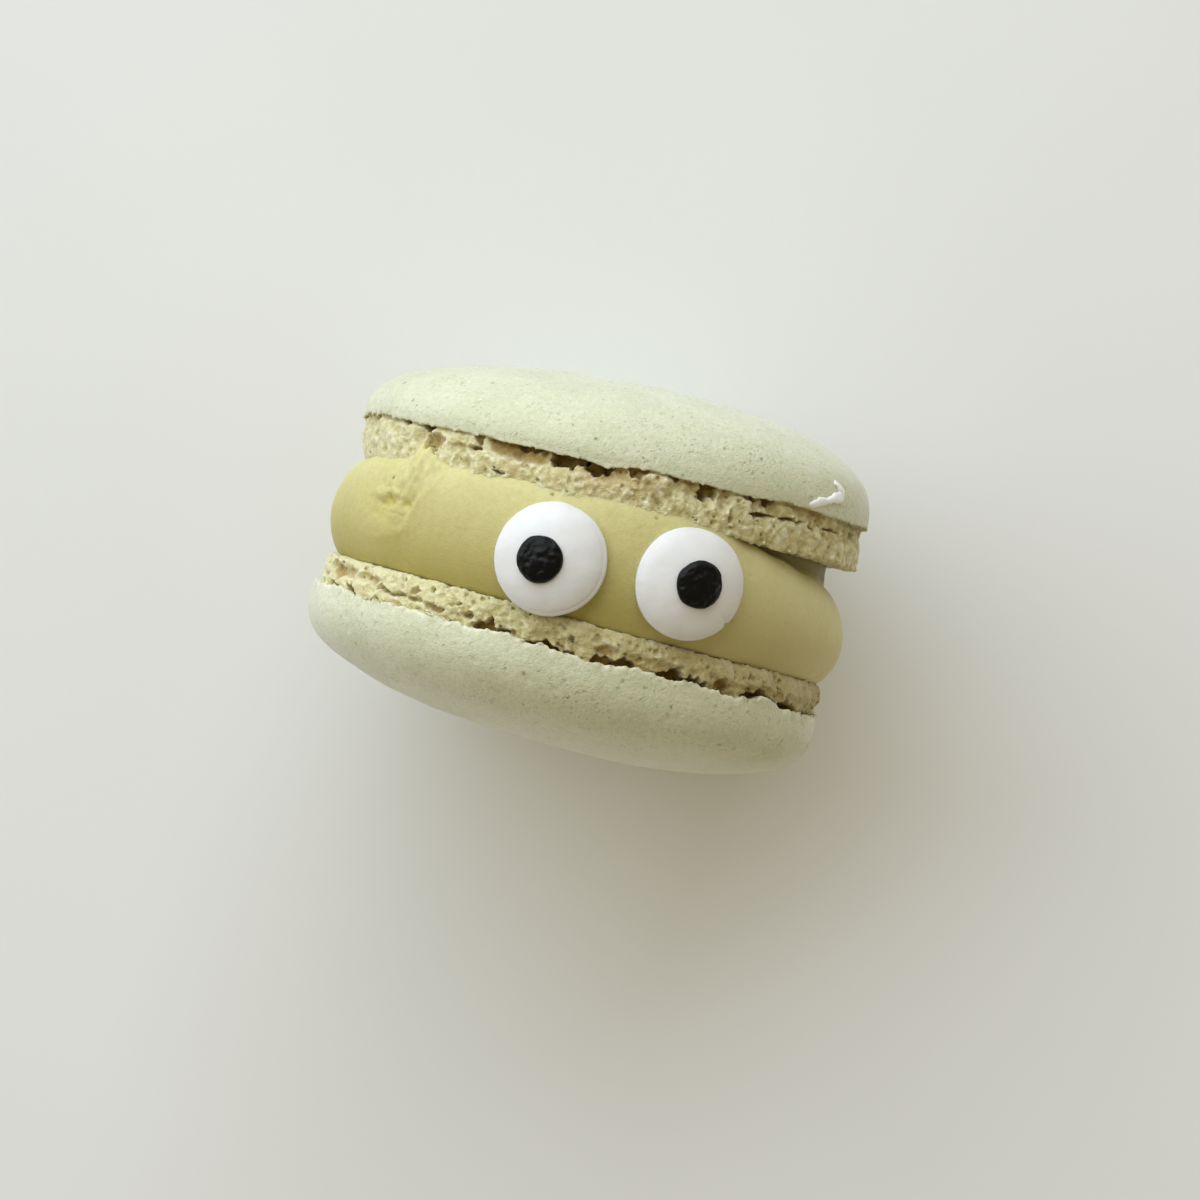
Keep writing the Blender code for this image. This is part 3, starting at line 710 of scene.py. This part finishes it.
    tear_all, spot_all = with_ends(tear, 0.0), with_ends(spot, 0.0)
    # painted shade on the inner neck of the groove under the upper foot, fading outwards
    neck_shade_all = with_ends(np.zeros_like(tear), 0.85)
    neck_shade_all[:, len(shares) - 3:len(shares)] *= np.array([0.75, 0.45, 0.2])
    R_all = np.concatenate([R_all, Rr, low_r], 1)
    Y_all = np.concatenate([Y_all, Y, low_y], 1)
    rows = R_all.shape[1]
    th = np.broadcast_to(theta[:, None], R_all.shape)
    x = FILL_X + R_all * np.sin(th)
    z = AXLE + R_all * np.cos(th)
    z = smax(z, 0.03, 0.06)
    verts = np.stack([x, Y_all, z], -1).reshape(-1, 3)
    idx = np.arange(n * rows).reshape(n, rows)
    nxt = np.roll(idx, -1, 0)
    quads = np.stack([idx[:, :-1], idx[:, 1:], nxt[:, 1:], nxt[:, :-1]], -1).reshape(-1, 4)
    top_c, low_c = len(verts), len(verts) + 1
    verts = np.concatenate([verts, [[FILL_X, 5.15, AXLE]], [[FILL_X, inner_low, AXLE]]])
    tris = np.concatenate([
        np.stack([idx[:, 0], nxt[:, 0], np.full(n, top_c)], 1),
        np.stack([nxt[:, -1], idx[:, -1], np.full(n, low_c)], 1)])
    obj = new_mesh("ganache", verts, quads, tris, {
        key: np.concatenate([value.ravel(), [0, 0]])
        for key, value in (("tear", tear_all), ("spot", spot_all), ("neck_shade", neck_shade_all))})
    return obj


ganache = filling_piece()


# ----------------------------------------------------------------------- eyes
def disc_piece(name, profile, columns, shape, place):
    """A turned disc: profile rows of (radius, height) from the middle of the front
    to the middle of the back; shape(r, phi, z) makes it uneven."""
    phi = np.arange(columns) * 2 * math.pi / columns
    r = np.array([p[0] for p in profile[1:-1]])
    z = np.array([p[1] for p in profile[1:-1]])
    Rg, Pg = np.meshgrid(r, phi, indexing="xy")
    Zg = np.broadcast_to(z[None, :], Rg.shape)
    Rn, Zn = shape(Rg, Pg, Zg)
    x, y = Rn * np.cos(Pg), Rn * np.sin(Pg)
    rows = len(r)
    verts = np.stack([x, y, Zn], -1).reshape(-1, 3)
    c0, c1 = shape(np.array([[profile[0][0]]]), np.array([[0.0]]), np.array([[profile[0][1]]]))
    verts = np.concatenate([verts, [[0, 0, float(c1[0, 0])]], [[0, 0, profile[-1][1]]]])
    idx = np.arange(columns * rows).reshape(columns, rows)
    nxt = np.roll(idx, -1, 0)
    quads = np.stack([idx[:, :-1], idx[:, 1:], nxt[:, 1:], nxt[:, :-1]], -1).reshape(-1, 4)
    a, b = columns * rows, columns * rows + 1
    tris = np.concatenate([np.stack([idx[:, 0], nxt[:, 0], np.full(columns, a)], 1),
                           np.stack([nxt[:, -1], idx[:, -1], np.full(columns, b)], 1)])
    world = place(verts)
    return new_mesh(name, world, quads, tris)


def rim_frame(angle_deg, along, distance):
    """Local X along the rim, local Y along the macaron's axis, local Z outwards."""
    t = math.radians(angle_deg)
    out = np.array([math.sin(t), 0, math.cos(t)])
    across = np.array([math.cos(t), 0, -math.sin(t)])
    axis = np.array([0.0, 1.0, 0.0])
    origin = np.array([FILL_X, along, AXLE]) + out * distance

    def place(v):
        return origin + v[:, :1] * across + v[:, 1:2] * axis + v[:, 2:3] * out
    return place


SEAT = 24.95
EYES = {
    "left": {"angle": -7.5, "along": -0.63, "r": 5.17, "seed": 3, "pupil": (-0.70, -0.32), "pr": 2.12},
    "right": {"angle": 21.45, "along": 0.0, "r": 5.15, "seed": 9, "pupil": (0.16, 0.14), "pr": 2.18},
}


def eye_rows(R, edge, height):
    rows = [(0.0, height)]
    front, turn = 30, 0.5 * math.pi
    for i in range(1, front + 1):
        t = turn * i / front
        r = R * math.sin(t) ** 0.70
        rows.append((r, edge + (height - edge) * (1 - (r / R) ** 14) ** 0.5
                     * (1 - 0.80 * (r / R) ** 2)))
    for i in range(1, 7):
        rows.append((R - 0.015 * i, edge * (1 - i / 6.0) + 0.02))
    rows += [(R - 0.4, -0.05), (R - 1.2, -0.08), (0.0, -0.08)]
    return rows


def make_eye(side, e):
    seed = e["seed"]

    def shape(r, phi, z):
        p = np.stack([r * np.cos(phi) + seed * 7, r * np.sin(phi), z], -1)
        ring = np.stack([3 * np.cos(phi) + seed * 5, 3 * np.sin(phi), 0 * phi], -1)
        w = sstep(0.5, 1.0, r / e["r"])
        out = 0.16 * (vnoise(ring, 1.9, 200 + seed) - 0.5) + 0.07 * (vnoise(ring, 0.8, 210 + seed) - 0.5) \
            + 0.02 * (vnoise(p, 0.5, 205) - 0.5)
        r2 = r * (1 + out / e["r"] * w)
        z2 = z + (0.16 * (fbm(p, 2.6, 220 + seed, 2) - 0.5) + 0.02 * (vnoise(p, 0.5, 222) - 0.5)) \
            * sstep(0.2, 0.9, z)
        side_of = 0.35 + 0.65 * np.clip(np.cos(phi + 0.25), 0, 1)
        z2 = z2 - 0.085 * side_of * np.exp(-((r / e["r"] - 0.945) / 0.016) ** 2) * sstep(0.2, 0.6, z)
        if side == "right":
            # thicker on its right side, with a tiny chip in the edge there
            z2 = z2 + 0.065 * r * np.cos(phi) * sstep(0.2, 0.9, z)
            q = wrap(phi - math.radians(-34))
            r2 = r2 - 0.22 * np.exp(-(q * e["r"] / 0.20) ** 2) * w
        return r2, z2

    return disc_piece("eye_white_" + side, eye_rows(e["r"], 0.64, 2.74), 176, shape,
                      rim_frame(e["angle"], e["along"], SEAT))


def make_pupil(side, e):
    seed = e["seed"] + 40
    R = e["pr"]
    rows = [(0.0, 0.95)]
    for i in range(1, 24):
        t = math.pi / 2 * i / 23
        rows.append((R * math.sin(t) ** 0.92, 0.12 + 0.83 * math.cos(t) ** 0.85))
    rows += [(R * 0.99, 0.0), (R * 0.96, -0.32), (0.0, -0.32)]

    def shape(r, phi, z):
        p = np.stack([r * np.cos(phi) + seed * 3, r * np.sin(phi), z], -1)
        ring = np.stack([2 * np.cos(phi) + seed * 5, 2 * np.sin(phi), 0 * phi], -1)
        out = 0.20 * (vnoise(ring, 1.1, 300 + seed) - 0.5) + 0.10 * (vnoise(ring, 0.5, 310 + seed) - 0.5)
        r2 = r * (1 + out / R)
        lumps = 0.20 * (fbm(p, 1.1, 320 + seed, 2) - 0.5) + 0.23 * (vnoise(p, 0.36, 322 + seed) - 0.5)
        z2 = z + lumps * sstep(0.1, 0.5, z)
        return r2, z2

    px, py = e["pupil"]
    base = rim_frame(e["angle"], e["along"], SEAT)

    def place(v):
        # the drop lies on the eye's front
        return base(v + np.array([px, py, 2.47]))
    return disc_piece("pupil_black_" + side, rows, 96, shape, place)


eyes, pupils = {}, {}
for side, e in EYES.items():
    eyes[side] = make_eye(side, e)
    pupils[side] = make_pupil(side, e)


# ------------------------------------------------------------------ the fleck
def fleck_piece():
    """A thin smear of white icing on the upper shell, near its right end."""
    spine = [(46.4, 9.72, 0.14), (48.5, 9.97, 0.42), (50.7, 10.32, 0.44), (52.7, 10.52, 0.32), (55.1, 10.92, 0.38),
             (57.9, 11.20, 0.62), (58.7, 11.75, 0.45), (57.3, 12.15, 0.32), (56.2, 12.52, 0.14)]
    R, F, H, power = UP_R, 4.05, 8.80, 2.3
    pts = []
    per = 12
    for a, b in zip(spine[:-1], spine[1:]):
        for i in range(per):
            s = i / per
            pts.append([a[k] * (1 - s) + b[k] * s for k in range(3)])
    pts.append(list(spine[-1]))
    pts = np.array(pts)
    deg, y, w = pts.T
    a = np.radians(deg) * R
    ta, ty = np.gradient(a), np.gradient(y)
    ln = np.hypot(ta, ty)
    na, ny = -ty / ln, ta / ln
    cross = np.linspace(-1, 1, 13)
    A = a[:, None] + na[:, None] * w[:, None] * cross[None]
    Yy = y[:, None] + ny[:, None] * w[:, None] * cross[None]
    q = np.stack([A, Yy, 0 * A], -1)
    A = A + 0.55 * (fbm(q, 0.6, 60, 3, 0.6) - 0.5) * np.abs(cross)[None]
    Yy = Yy + 0.55 * (fbm(q, 0.6, 61, 3, 0.6) - 0.5) * np.abs(cross)[None]
    lift = 0.16 * np.clip(1 - cross[None] ** 2, 0, 1) ** 0.5 + 0.10 * (fbm(q, 0.6, 62, 2) - 0.5)
    ends = np.minimum(np.arange(len(a)), np.arange(len(a))[::-1])[:, None] / 6.0
    lift = lift * np.clip(ends, 0, 1) ** 0.5
    th = A / R
    x0 = UP_X + R * np.sin(th)
    hh = Yy - 4.95 - 0.033 * (x0 - UP_X)
    hp = np.clip(hh - F, 0, H)
    rr = R * (1 - (hp / H) ** power) ** (1 / power) - 0.10 * np.clip((1.5 - (hh - F)) / 1.5, 0, 1) ** 2
    rr_top = rr + 0.02 + np.maximum(lift, -0.05)
    rr_low = rr - 0.30
    grids = []
    for r in (rr_top, rr_low):
        grids.append(np.stack([UP_X + r * np.sin(th), Yy, AXLE + r * np.cos(th)], -1))
    rows, cols = A.shape
    idx = np.arange(rows * cols).reshape(rows, cols)
    low = idx + rows * cols
    quads = [np.stack([idx[:-1, :-1], idx[1:, :-1], idx[1:, 1:], idx[:-1, 1:]], -1).reshape(-1, 4),
             np.stack([low[:-1, :-1], low[:-1, 1:], low[1:, 1:], low[1:, :-1]], -1).reshape(-1, 4)]
    ring = np.concatenate([idx[0, :], idx[1:, -1], idx[-1, -2::-1], idx[-2:0:-1, 0]])
    nx = np.roll(ring, -1)
    quads.append(np.stack([ring, nx, nx + rows * cols, ring + rows * cols], -1))
    return new_mesh("icing_fleck", np.concatenate([g.reshape(-1, 3) for g in grids]),
                    np.concatenate(quads), [])


fleck = fleck_piece()


# ------------------------------------------------------------------ materials
class Nodes:
    """Small helper to wire shader nodes."""

    def __init__(self, name):
        self.mat = bpy.data.materials.new(name)
        self.mat.use_nodes = True
        self.tree = self.mat.node_tree
        self.shader = self.tree.nodes["Principled BSDF"]
        self.coord = self.tree.nodes.new("ShaderNodeTexCoord").outputs["Object"]

    def node(self, kind, **values):
        n = self.tree.nodes.new(kind)
        for key, value in values.items():
            setattr(n, key, value)
        return n

    def link(self, a, b):
        self.tree.links.new(a, b)

    def noise(self, size_mm, detail=3.0, rough=0.5, distortion=0.0, vector=None):
        n = self.node("ShaderNodeTexNoise")
        n.inputs["Scale"].default_value = 1000.0 / size_mm
        n.inputs["Detail"].default_value = detail
        n.inputs["Roughness"].default_value = rough
        n.inputs["Distortion"].default_value = distortion
        self.link(vector or self.coord, n.inputs["Vector"])
        return n.outputs["Fac"]

    def voronoi(self, size_mm, feature="F1", vector=None, random=1.0):
        n = self.node("ShaderNodeTexVoronoi", feature=feature)
        n.inputs["Scale"].default_value = 1000.0 / size_mm
        n.inputs["Randomness"].default_value = random
        self.link(vector or self.coord, n.inputs["Vector"])
        return n

    def ramp(self, source, stops, interpolation="LINEAR"):
        n = self.node("ShaderNodeValToRGB")
        n.color_ramp.interpolation = interpolation
        el = n.color_ramp.elements
        while len(el) > 1:
            el.remove(el[-1])
        el[0].position = stops[0][0]
        el[0].color = self.rgba(stops[0][1])
        for pos, col in stops[1:]:
            e = el.new(pos)
            e.color = self.rgba(col)
        self.link(source, n.inputs["Fac"])
        return n.outputs["Color"]

    @staticmethod
    def rgba(c):
        if isinstance(c, (int, float)):
            return (c, c, c, 1.0)
        return (*c, 1.0)

    def mix(self, fac, a, b, blend="MIX"):
        n = self.node("ShaderNodeMix", data_type="RGBA", blend_type=blend)
        for sock, value in ((n.inputs[0], fac), (n.inputs[6], a), (n.inputs[7], b)):
            if isinstance(value, (int, float)):
                sock.default_value = value if sock == n.inputs[0] else (value, value, value, 1.0)
            elif isinstance(value, tuple):
                sock.default_value = (*value, 1.0)
            else:
                self.link(value, sock)
        return n.outputs[2]

    def math(self, op, a, b=0.0, clamp=False):
        n = self.node("ShaderNodeMath", operation=op, use_clamp=clamp)
        for sock, value in ((n.inputs[0], a), (n.inputs[1], b)):
            if isinstance(value, (int, float)):
                sock.default_value = value
            else:
                self.link(value, sock)
        return n.outputs[0]

    def attribute(self, name):
        n = self.node("ShaderNodeAttribute", attribute_name=name)
        return n.outputs["Fac"]

    def bump(self, height, distance_mm, strength=1.0, normal=None):
        n = self.node("ShaderNodeBump")
        n.inputs["Strength"].default_value = strength
        n.inputs["Distance"].default_value = distance_mm * MM
        self.link(height, n.inputs["Height"])
        if normal is not None:
            self.link(normal, n.inputs["Normal"])
        return n.outputs["Normal"]

    def set(self, **values):
        for key, value in values.items():
            sock = self.shader.inputs[key.replace("_", " ")]
            if isinstance(value, (int, float)):
                sock.default_value = value
            elif isinstance(value, tuple):
                sock.default_value = value
            else:
                self.link(value, sock)


def srgb(r, g, b):
    return tuple(((c / 255) / 12.92) if c / 255 <= 0.04045 else ((c / 255 + 0.055) / 1.055) ** 2.4
                 for c in (r, g, b))


def crust_material():
    m = Nodes("baked_meringue")
    crust, hollow_tan_and_shade, rim = (m.attribute(a) for a in ("crust", "hollow_tan_and_shade", "rim"))
    # smooth pale green crust with a faint mottle
    mottle = m.noise(5.5, 4.0, 0.55)
    green = m.ramp(mottle, [(0.30, srgb(201, 204, 170)), (0.52, srgb(210, 212, 180)), (0.72, srgb(217, 218, 189))])
    fine = m.noise(0.42, 3.0, 0.6)
    green = m.mix(m.ramp(fine, [(0.32, 0.34), (0.58, 0.0)]), green, srgb(180, 185, 138))
    green = m.mix(m.ramp(m.noise(0.30, 2.0, 0.5), [(0.56, 0.0), (0.74, 0.50)]), green, srgb(228, 231, 209))
    # sparse darker specks and short scratches
    warp = m.noise(1.3, 3.0, 0.6)
    bend = m.node("ShaderNodeVectorMath", operation="MULTIPLY_ADD")
    wander = m.node("ShaderNodeTexNoise")
    wander.inputs["Scale"].default_value = 1700.0
    m.link(m.coord, wander.inputs["Vector"])
    m.link(wander.outputs["Color"], bend.inputs[0])
    bend.inputs[1].default_value = (0.0008, 0.0008, 0.0008)
    m.link(m.coord, bend.inputs[2])
    spots = m.voronoi(1.15, vector=bend.outputs[0])
    speck = m.ramp(spots.outputs["Distance"], [(0.08, 1.0), (0.22, 0.0)])
    gate = m.ramp(m.noise(2.3, 2.0, 0.5), [(0.44, 0.0), (0.54, 1.0)])
    speck = m.math("MULTIPLY", speck, gate)
    speck = m.math("MULTIPLY", speck, m.ramp(warp, [(0.40, 0.0), (0.58, 0.85)]))
    green = m.mix(speck, green, srgb(136, 140, 94))
    # small pores
    pore = m.math("MULTIPLY", m.ramp(m.noise(0.50, 1.0, 0.5), [(0.61, 0.0), (0.70, 1.0)]),
                  m.ramp(m.noise(3.6, 2.0, 0.5), [(0.36, 0.15), (0.60, 1.0)]))
    green = m.mix(m.math("MULTIPLY", pore, 0.34), green, srgb(166, 171, 124))
    # a few grains of sugar
    grains = m.voronoi(2.6)
    grain = m.ramp(grains.outputs["Distance"], [(0.028, 1.0), (0.042, 0.0)])
    green = m.mix(m.math("MULTIPLY", grain, 0.8), green, srgb(244, 246, 232))
    # painted light: the lower shell is painted paler towards its middle, standing in for the brightening of its
    # outermost side
    where = m.node("ShaderNodeSeparateXYZ")
    m.link(m.coord, where.inputs[0])
    painted_pale_light = m.math("MULTIPLY_ADD", where.outputs["Y"], -290.0, clamp=True)
    painted_pale_light.node.inputs[2].default_value = -4.2
    green = m.mix(m.math("MULTIPLY", painted_pale_light, 0.70), green, srgb(227, 229, 207))
    # spongy foot: cream, with a painted highlight on the raised crumbs and painted shade between them; tan and brown
    # in the hollows, partly the crumb's own tan and partly painted shade
    tone = m.noise(2.2, 3.0, 0.6)
    crumb_light_and_shade = m.attribute("grain")
    warm = m.ramp(m.noise(1.9, 3.0, 0.6), [(0.53, 0.0), (0.70, 0.55)])
    cream = m.ramp(tone, [(0.30, srgb(202, 192, 134)), (0.50, srgb(213, 206, 152)), (0.70, srgb(222, 217, 170))])
    cream = m.mix(warm, cream, srgb(206, 186, 130))
    # painted highlight on the raised crumbs, painted shade between them
    cream = m.mix(m.ramp(crumb_light_and_shade, [(0.50, 0.0), (0.80, 0.80)]), cream, srgb(240, 235, 202))
    cream = m.mix(m.ramp(crumb_light_and_shade, [(0.12, 0.70), (0.44, 0.0)]), cream, srgb(184, 169, 110))
    apart = m.node("ShaderNodeSeparateXYZ")
    m.link(m.coord, apart.inputs[0])
    # painted shade: the foot darker towards the +X end, away from the window (used on the lower shell below)
    shaded_far_end = m.math("MULTIPLY_ADD", apart.outputs["X"], 34.0, clamp=True)
    shaded_far_end.node.inputs[2].default_value = 0.42
    shaded_far_end = m.math("MULTIPLY", shaded_far_end, m.ramp(m.noise(3.0, 3.0, 0.6), [(0.35, 0.85), (0.65, 0.50)]))
    # painted light: the foot paler towards the -X end, nearest the window, more so on the lower shell
    near = m.math("MULTIPLY_ADD", apart.outputs["X"], -80.0, clamp=True)
    near.node.inputs[2].default_value = -0.55
    lower_one = m.math("MULTIPLY_ADD", apart.outputs["Y"], -200.0, clamp=True)
    lower_one.node.inputs[2].default_value = 0.30
    near = m.math("MULTIPLY", near, m.math("MULTIPLY_ADD", lower_one, 0.35))
    near.node.inputs[1].links[0].from_node.inputs[2].default_value = 0.20
    cream = m.mix(near, cream, srgb(233, 227, 178))
    # a browner stretch of the upper foot, between the eyes
    middle = m.math("ABSOLUTE", m.math("ADD", apart.outputs["X"], -0.0004))
    middle = m.math("MULTIPLY_ADD", middle, -240.0, clamp=True)
    middle.node.inputs[2].default_value = 1.35
    upper_one = m.math("MULTIPLY_ADD", apart.outputs["Y"], 600.0, clamp=True)
    upper_one.node.inputs[2].default_value = -3.4
    middle = m.math("MULTIPLY", m.math("MULTIPLY", middle, upper_one),
                    m.ramp(m.noise(1.5, 3.0, 0.6), [(0.38, 0.25), (0.58, 0.75)]))
    cream = m.mix(middle, cream, srgb(190, 162, 106))
    # the painted shade of the far end goes on the lower foot only
    shaded_far_end = m.math("MULTIPLY", shaded_far_end, lower_one)
    cream = m.mix(shaded_far_end, cream, srgb(178, 164, 110))
    tan = m.ramp(m.noise(1.4, 2.0), [(0.35, srgb(184, 160, 98)), (0.65, srgb(199, 181, 120))])
    # tan in the hollows, darker brown deeper in: partly the crumb's own tan, partly painted shade
    sponge = m.mix(m.ramp(hollow_tan_and_shade, [(0.16, 0.0), (0.42, 0.85), (0.9, 1.0)]), cream, tan)
    sponge = m.mix(m.ramp(hollow_tan_and_shade, [(0.50, 0.0), (1.0, 0.90)]), sponge, srgb(152, 125, 48))
    colour = m.mix(crust, sponge, green)
    colour = m.mix(m.math("MULTIPLY", rim, 0.80), colour, srgb(234, 234, 206))
    # painted shade: dark line under the skirt's lip
    colour = m.mix(m.math("MULTIPLY", m.attribute("under_lip_shade"), 0.65), colour, srgb(172, 162, 108))
    m.set(Base_Color=colour, Roughness=0.82)
    m.shader.inputs["Specular IOR Level"].default_value = 0.25
    m.shader.inputs["Sheen Weight"].default_value = 0.50
    m.shader.inputs["Sheen Roughness"].default_value = 0.45
    m.shader.inputs["Subsurface Weight"].default_value = 0.12
    m.shader.inputs["Subsurface Radius"].default_value = (1.0, 0.85, 0.45)
    m.shader.inputs["Subsurface Scale"].default_value = 0.0009
    grainy = m.mix(0.55, m.noise(0.19, 2.0, 0.6), m.noise(0.60, 3.0, 0.6))
    normal = m.bump(grainy, 0.150, 1.0)
    pit = m.math("SUBTRACT", 1.0, m.math("MULTIPLY", speck, 1.0))
    normal = m.bump(pit, 0.06, 0.9, normal)
    normal = m.bump(m.math("SUBTRACT", 1.0, pore), 0.05, 0.8, normal)
    crumb = m.math("MULTIPLY", m.noise(0.36, 3.0, 0.7), m.math("SUBTRACT", 1.0, crust))
    normal = m.bump(crumb, 0.20, 1.0, normal)
    m.set(Normal=normal)
    return m.mat


def ganache_material():
    m = Nodes("ganache")
    tear = m.attribute("tear")
    cloud = m.noise(6.0, 4.0, 0.5)
    base = m.ramp(cloud, [(0.30, srgb(207, 200, 137)), (0.55, srgb(213, 206, 145)), (0.75, srgb(218, 212, 154))])
    fine = m.noise(0.6, 3.0, 0.6)
    base = m.mix(m.ramp(fine, [(0.35, 0.28), (0.60, 0.0)]), base, srgb(184, 173, 104))
    base = m.mix(m.ramp(m.noise(0.28, 2.0, 0.5), [(0.56, 0.0), (0.76, 0.30)]), base, srgb(222, 216, 165))
    # painted shade: the lower side, turned from the window, is painted a deeper olive
    apart = m.node("ShaderNodeSeparateXYZ")
    m.link(m.coord, apart.inputs[0])
    side = m.math("MULTIPLY_ADD", apart.outputs["Y"], -100.0)
    side.node.inputs[2].default_value = 0.42
    side = m.math("ADD", side, m.math("MULTIPLY", m.noise(9.0, 2.0, 0.5), 0.35), clamp=True)
    # the painted shade eases off towards the end that turns away from the window
    near_end = m.math("MULTIPLY_ADD", apart.outputs["X"], -110.0, clamp=True)
    near_end.node.inputs[2].default_value = 3.0
    side = m.math("MULTIPLY", side, near_end)
    base = m.mix(m.math("MULTIPLY", side, 0.78), base, srgb(168, 156, 76))
    far = m.math("MULTIPLY_ADD", apart.outputs["X"], 100.0, clamp=True)
    far.node.inputs[2].default_value = -0.4
    base = m.mix(m.math("MULTIPLY", far, 0.38), base, srgb(213, 204, 160))
    # painted shade in the groove's neck
    base = m.mix(m.attribute("neck_shade"), base, srgb(122, 112, 68))
    base = m.mix(m.attribute("spot"), base, srgb(96, 84, 44))
    specks = m.voronoi(1.9)
    speck = m.ramp(specks.outputs["Distance"], [(0.02, 0.8), (0.05, 0.0)])
    base = m.mix(speck, base, srgb(150, 138, 76))
    base = m.mix(m.ramp(tear, [(0.15, 0.0), (0.9, 0.70)]), base, srgb(199, 190, 102))
    m.set(Base_Color=base)
    rough = m.ramp(m.noise(2.0, 3.0, 0.6), [(0.3, 0.50), (0.7, 0.66)])
    m.set(Roughness=rough)
    m.shader.inputs["Specular IOR Level"].default_value = 0.35
    m.shader.inputs["Subsurface Weight"].default_value = 0.25
    m.shader.inputs["Subsurface Radius"].default_value = (1.0, 0.85, 0.35)
    m.shader.inputs["Subsurface Scale"].default_value = 0.0015
    normal = m.bump(m.mix(0.5, m.noise(0.22, 2.0, 0.6), m.noise(0.9, 3.0, 0.5)), 0.080, 1.0)
    m.set(Normal=normal)
    return m.mat


def white_material(name="white_icing", whiter=0):
    m = Nodes(name)
    base = m.ramp(m.noise(2.2, 3.0, 0.5), [(0.3, srgb(222 + whiter, 222 + whiter, 218 + whiter)),
                                           (0.7, srgb(230 + whiter, 230 + whiter, 227 + whiter))])
    dust = m.voronoi(1.5)
    speck = m.ramp(dust.outputs["Distance"], [(0.02, 0.35), (0.05, 0.0)])
    base = m.mix(speck, base, srgb(206, 202, 186))
    m.set(Base_Color=base, Roughness=0.48)
    m.shader.inputs["Specular IOR Level"].default_value = 0.35
    m.shader.inputs["Subsurface Weight"].default_value = 0.15
    m.shader.inputs["Subsurface Radius"].default_value = (1.0, 0.95, 0.85)
    m.shader.inputs["Subsurface Scale"].default_value = 0.0006
    m.set(Normal=m.bump(m.noise(0.5, 3.0, 0.6), 0.02, 0.7))
    return m.mat


def black_material():
    m = Nodes("black_icing")
    base = m.ramp(m.noise(0.8, 3.0, 0.5), [(0.3, srgb(1, 1, 1)), (0.7, srgb(5, 4, 3))])
    m.set(Base_Color=base)
    m.set(Roughness=m.ramp(m.noise(0.6, 3.0, 0.6), [(0.3, 0.34), (0.7, 0.46)]))
    m.shader.inputs["Specular IOR Level"].default_value = 0.19
    m.set(Normal=m.bump(m.noise(0.28, 2.0, 0.6), 0.03, 0.8))
    return m.mat


meringue = crust_material()
ganache_mat = ganache_material()
white = white_material()
# painted light: the smeared icing is a lighter copy of the white icing, painted brighter for the light it catches
smear_lit_copy = white_material("smeared_icing_lit_copy", 22)
black = black_material()
for piece, mat, node, slot in (
        (upper, meringue, "shell_upper", "crust"), (lower, meringue, "shell_lower", "crust"),
        (ganache, ganache_mat, "filling", "ganache"),
        (eyes["left"], white, "eye_left", "icing_white"), (eyes["right"], white, "eye_right", "icing_white"),
        (pupils["left"], black, "pupil_left", "icing_black"),
        (pupils["right"], black, "pupil_right", "icing_black")):
    piece.data.materials.append(mat)
    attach(piece, "root")
    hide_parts(node)
fleck.data.materials.append(smear_lit_copy)
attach(fleck, "root")

# -------------------------------------------------------------- floor, lights
size = 1.6
floor_mesh = bpy.data.meshes.new("floor")
floor_mesh.from_pydata([(-size, -size, 0), (size, -size, 0), (size, size, 0), (-size, size, 0)], [], [(0, 1, 2, 3)])
floor = bpy.data.objects.new("floor", floor_mesh)
floor.location = (0, 0, -0.00005)
scene.collection.objects.link(floor)
fm = Nodes("painted_floor")
fm.set(Base_Color=fm.ramp(fm.noise(60.0, 2.0, 0.5), [(0.3, srgb(229, 230, 226)), (0.7, srgb(233, 234, 230))]),
       Roughness=0.7)
floor.data.materials.append(fm.mat)


def area_light(name, location, target, sx, sy, power, colour):
    data = bpy.data.lights.new(name, "AREA")
    data.shape = "RECTANGLE"
    data.size, data.size_y = sx, sy
    data.energy = power
    data.color = colour
    obj = bpy.data.objects.new(name, data)
    obj.location = location
    direction = Vector(target) - Vector(location)
    obj.rotation_euler = direction.to_track_quat("-Z", "Y").to_euler()
    scene.collection.objects.link(obj)
    return obj


# one broad window, beyond the upper shell and to its left
cam_turn = math.radians(13.15)
centre = Vector((0, 0, 0.02))
turn, height = math.radians(40), math.radians(34)
away = 0.86
window = centre + Vector((-math.sin(turn) * math.cos(height), math.cos(turn) * math.cos(height),
                          math.sin(height))) * away
area_light("window", window, centre, 1.70, 1.00, 12.4, (0.90, 1.0, 1.17))

world = bpy.data.worlds.new("studio")
scene.world = world
world.use_nodes = True
world.node_tree.nodes["Background"].inputs["Color"].default_value = (1.0, 0.865, 0.60, 1.0)
world.node_tree.nodes["Background"].inputs["Strength"].default_value = 0.405

# --------------------------------------------------------------------- camera
camera_data = bpy.data.cameras.new("camera")
camera_data.sensor_width = 36.0
camera_data.lens = 108.36
camera_data.clip_start = 0.01
camera = bpy.data.objects.new("camera", camera_data)
camera.location = (0.00187, -0.00323, AXLE * MM + 0.350)
camera.rotation_euler = (0, 0, cam_turn)
scene.collection.objects.link(camera)
scene.camera = camera
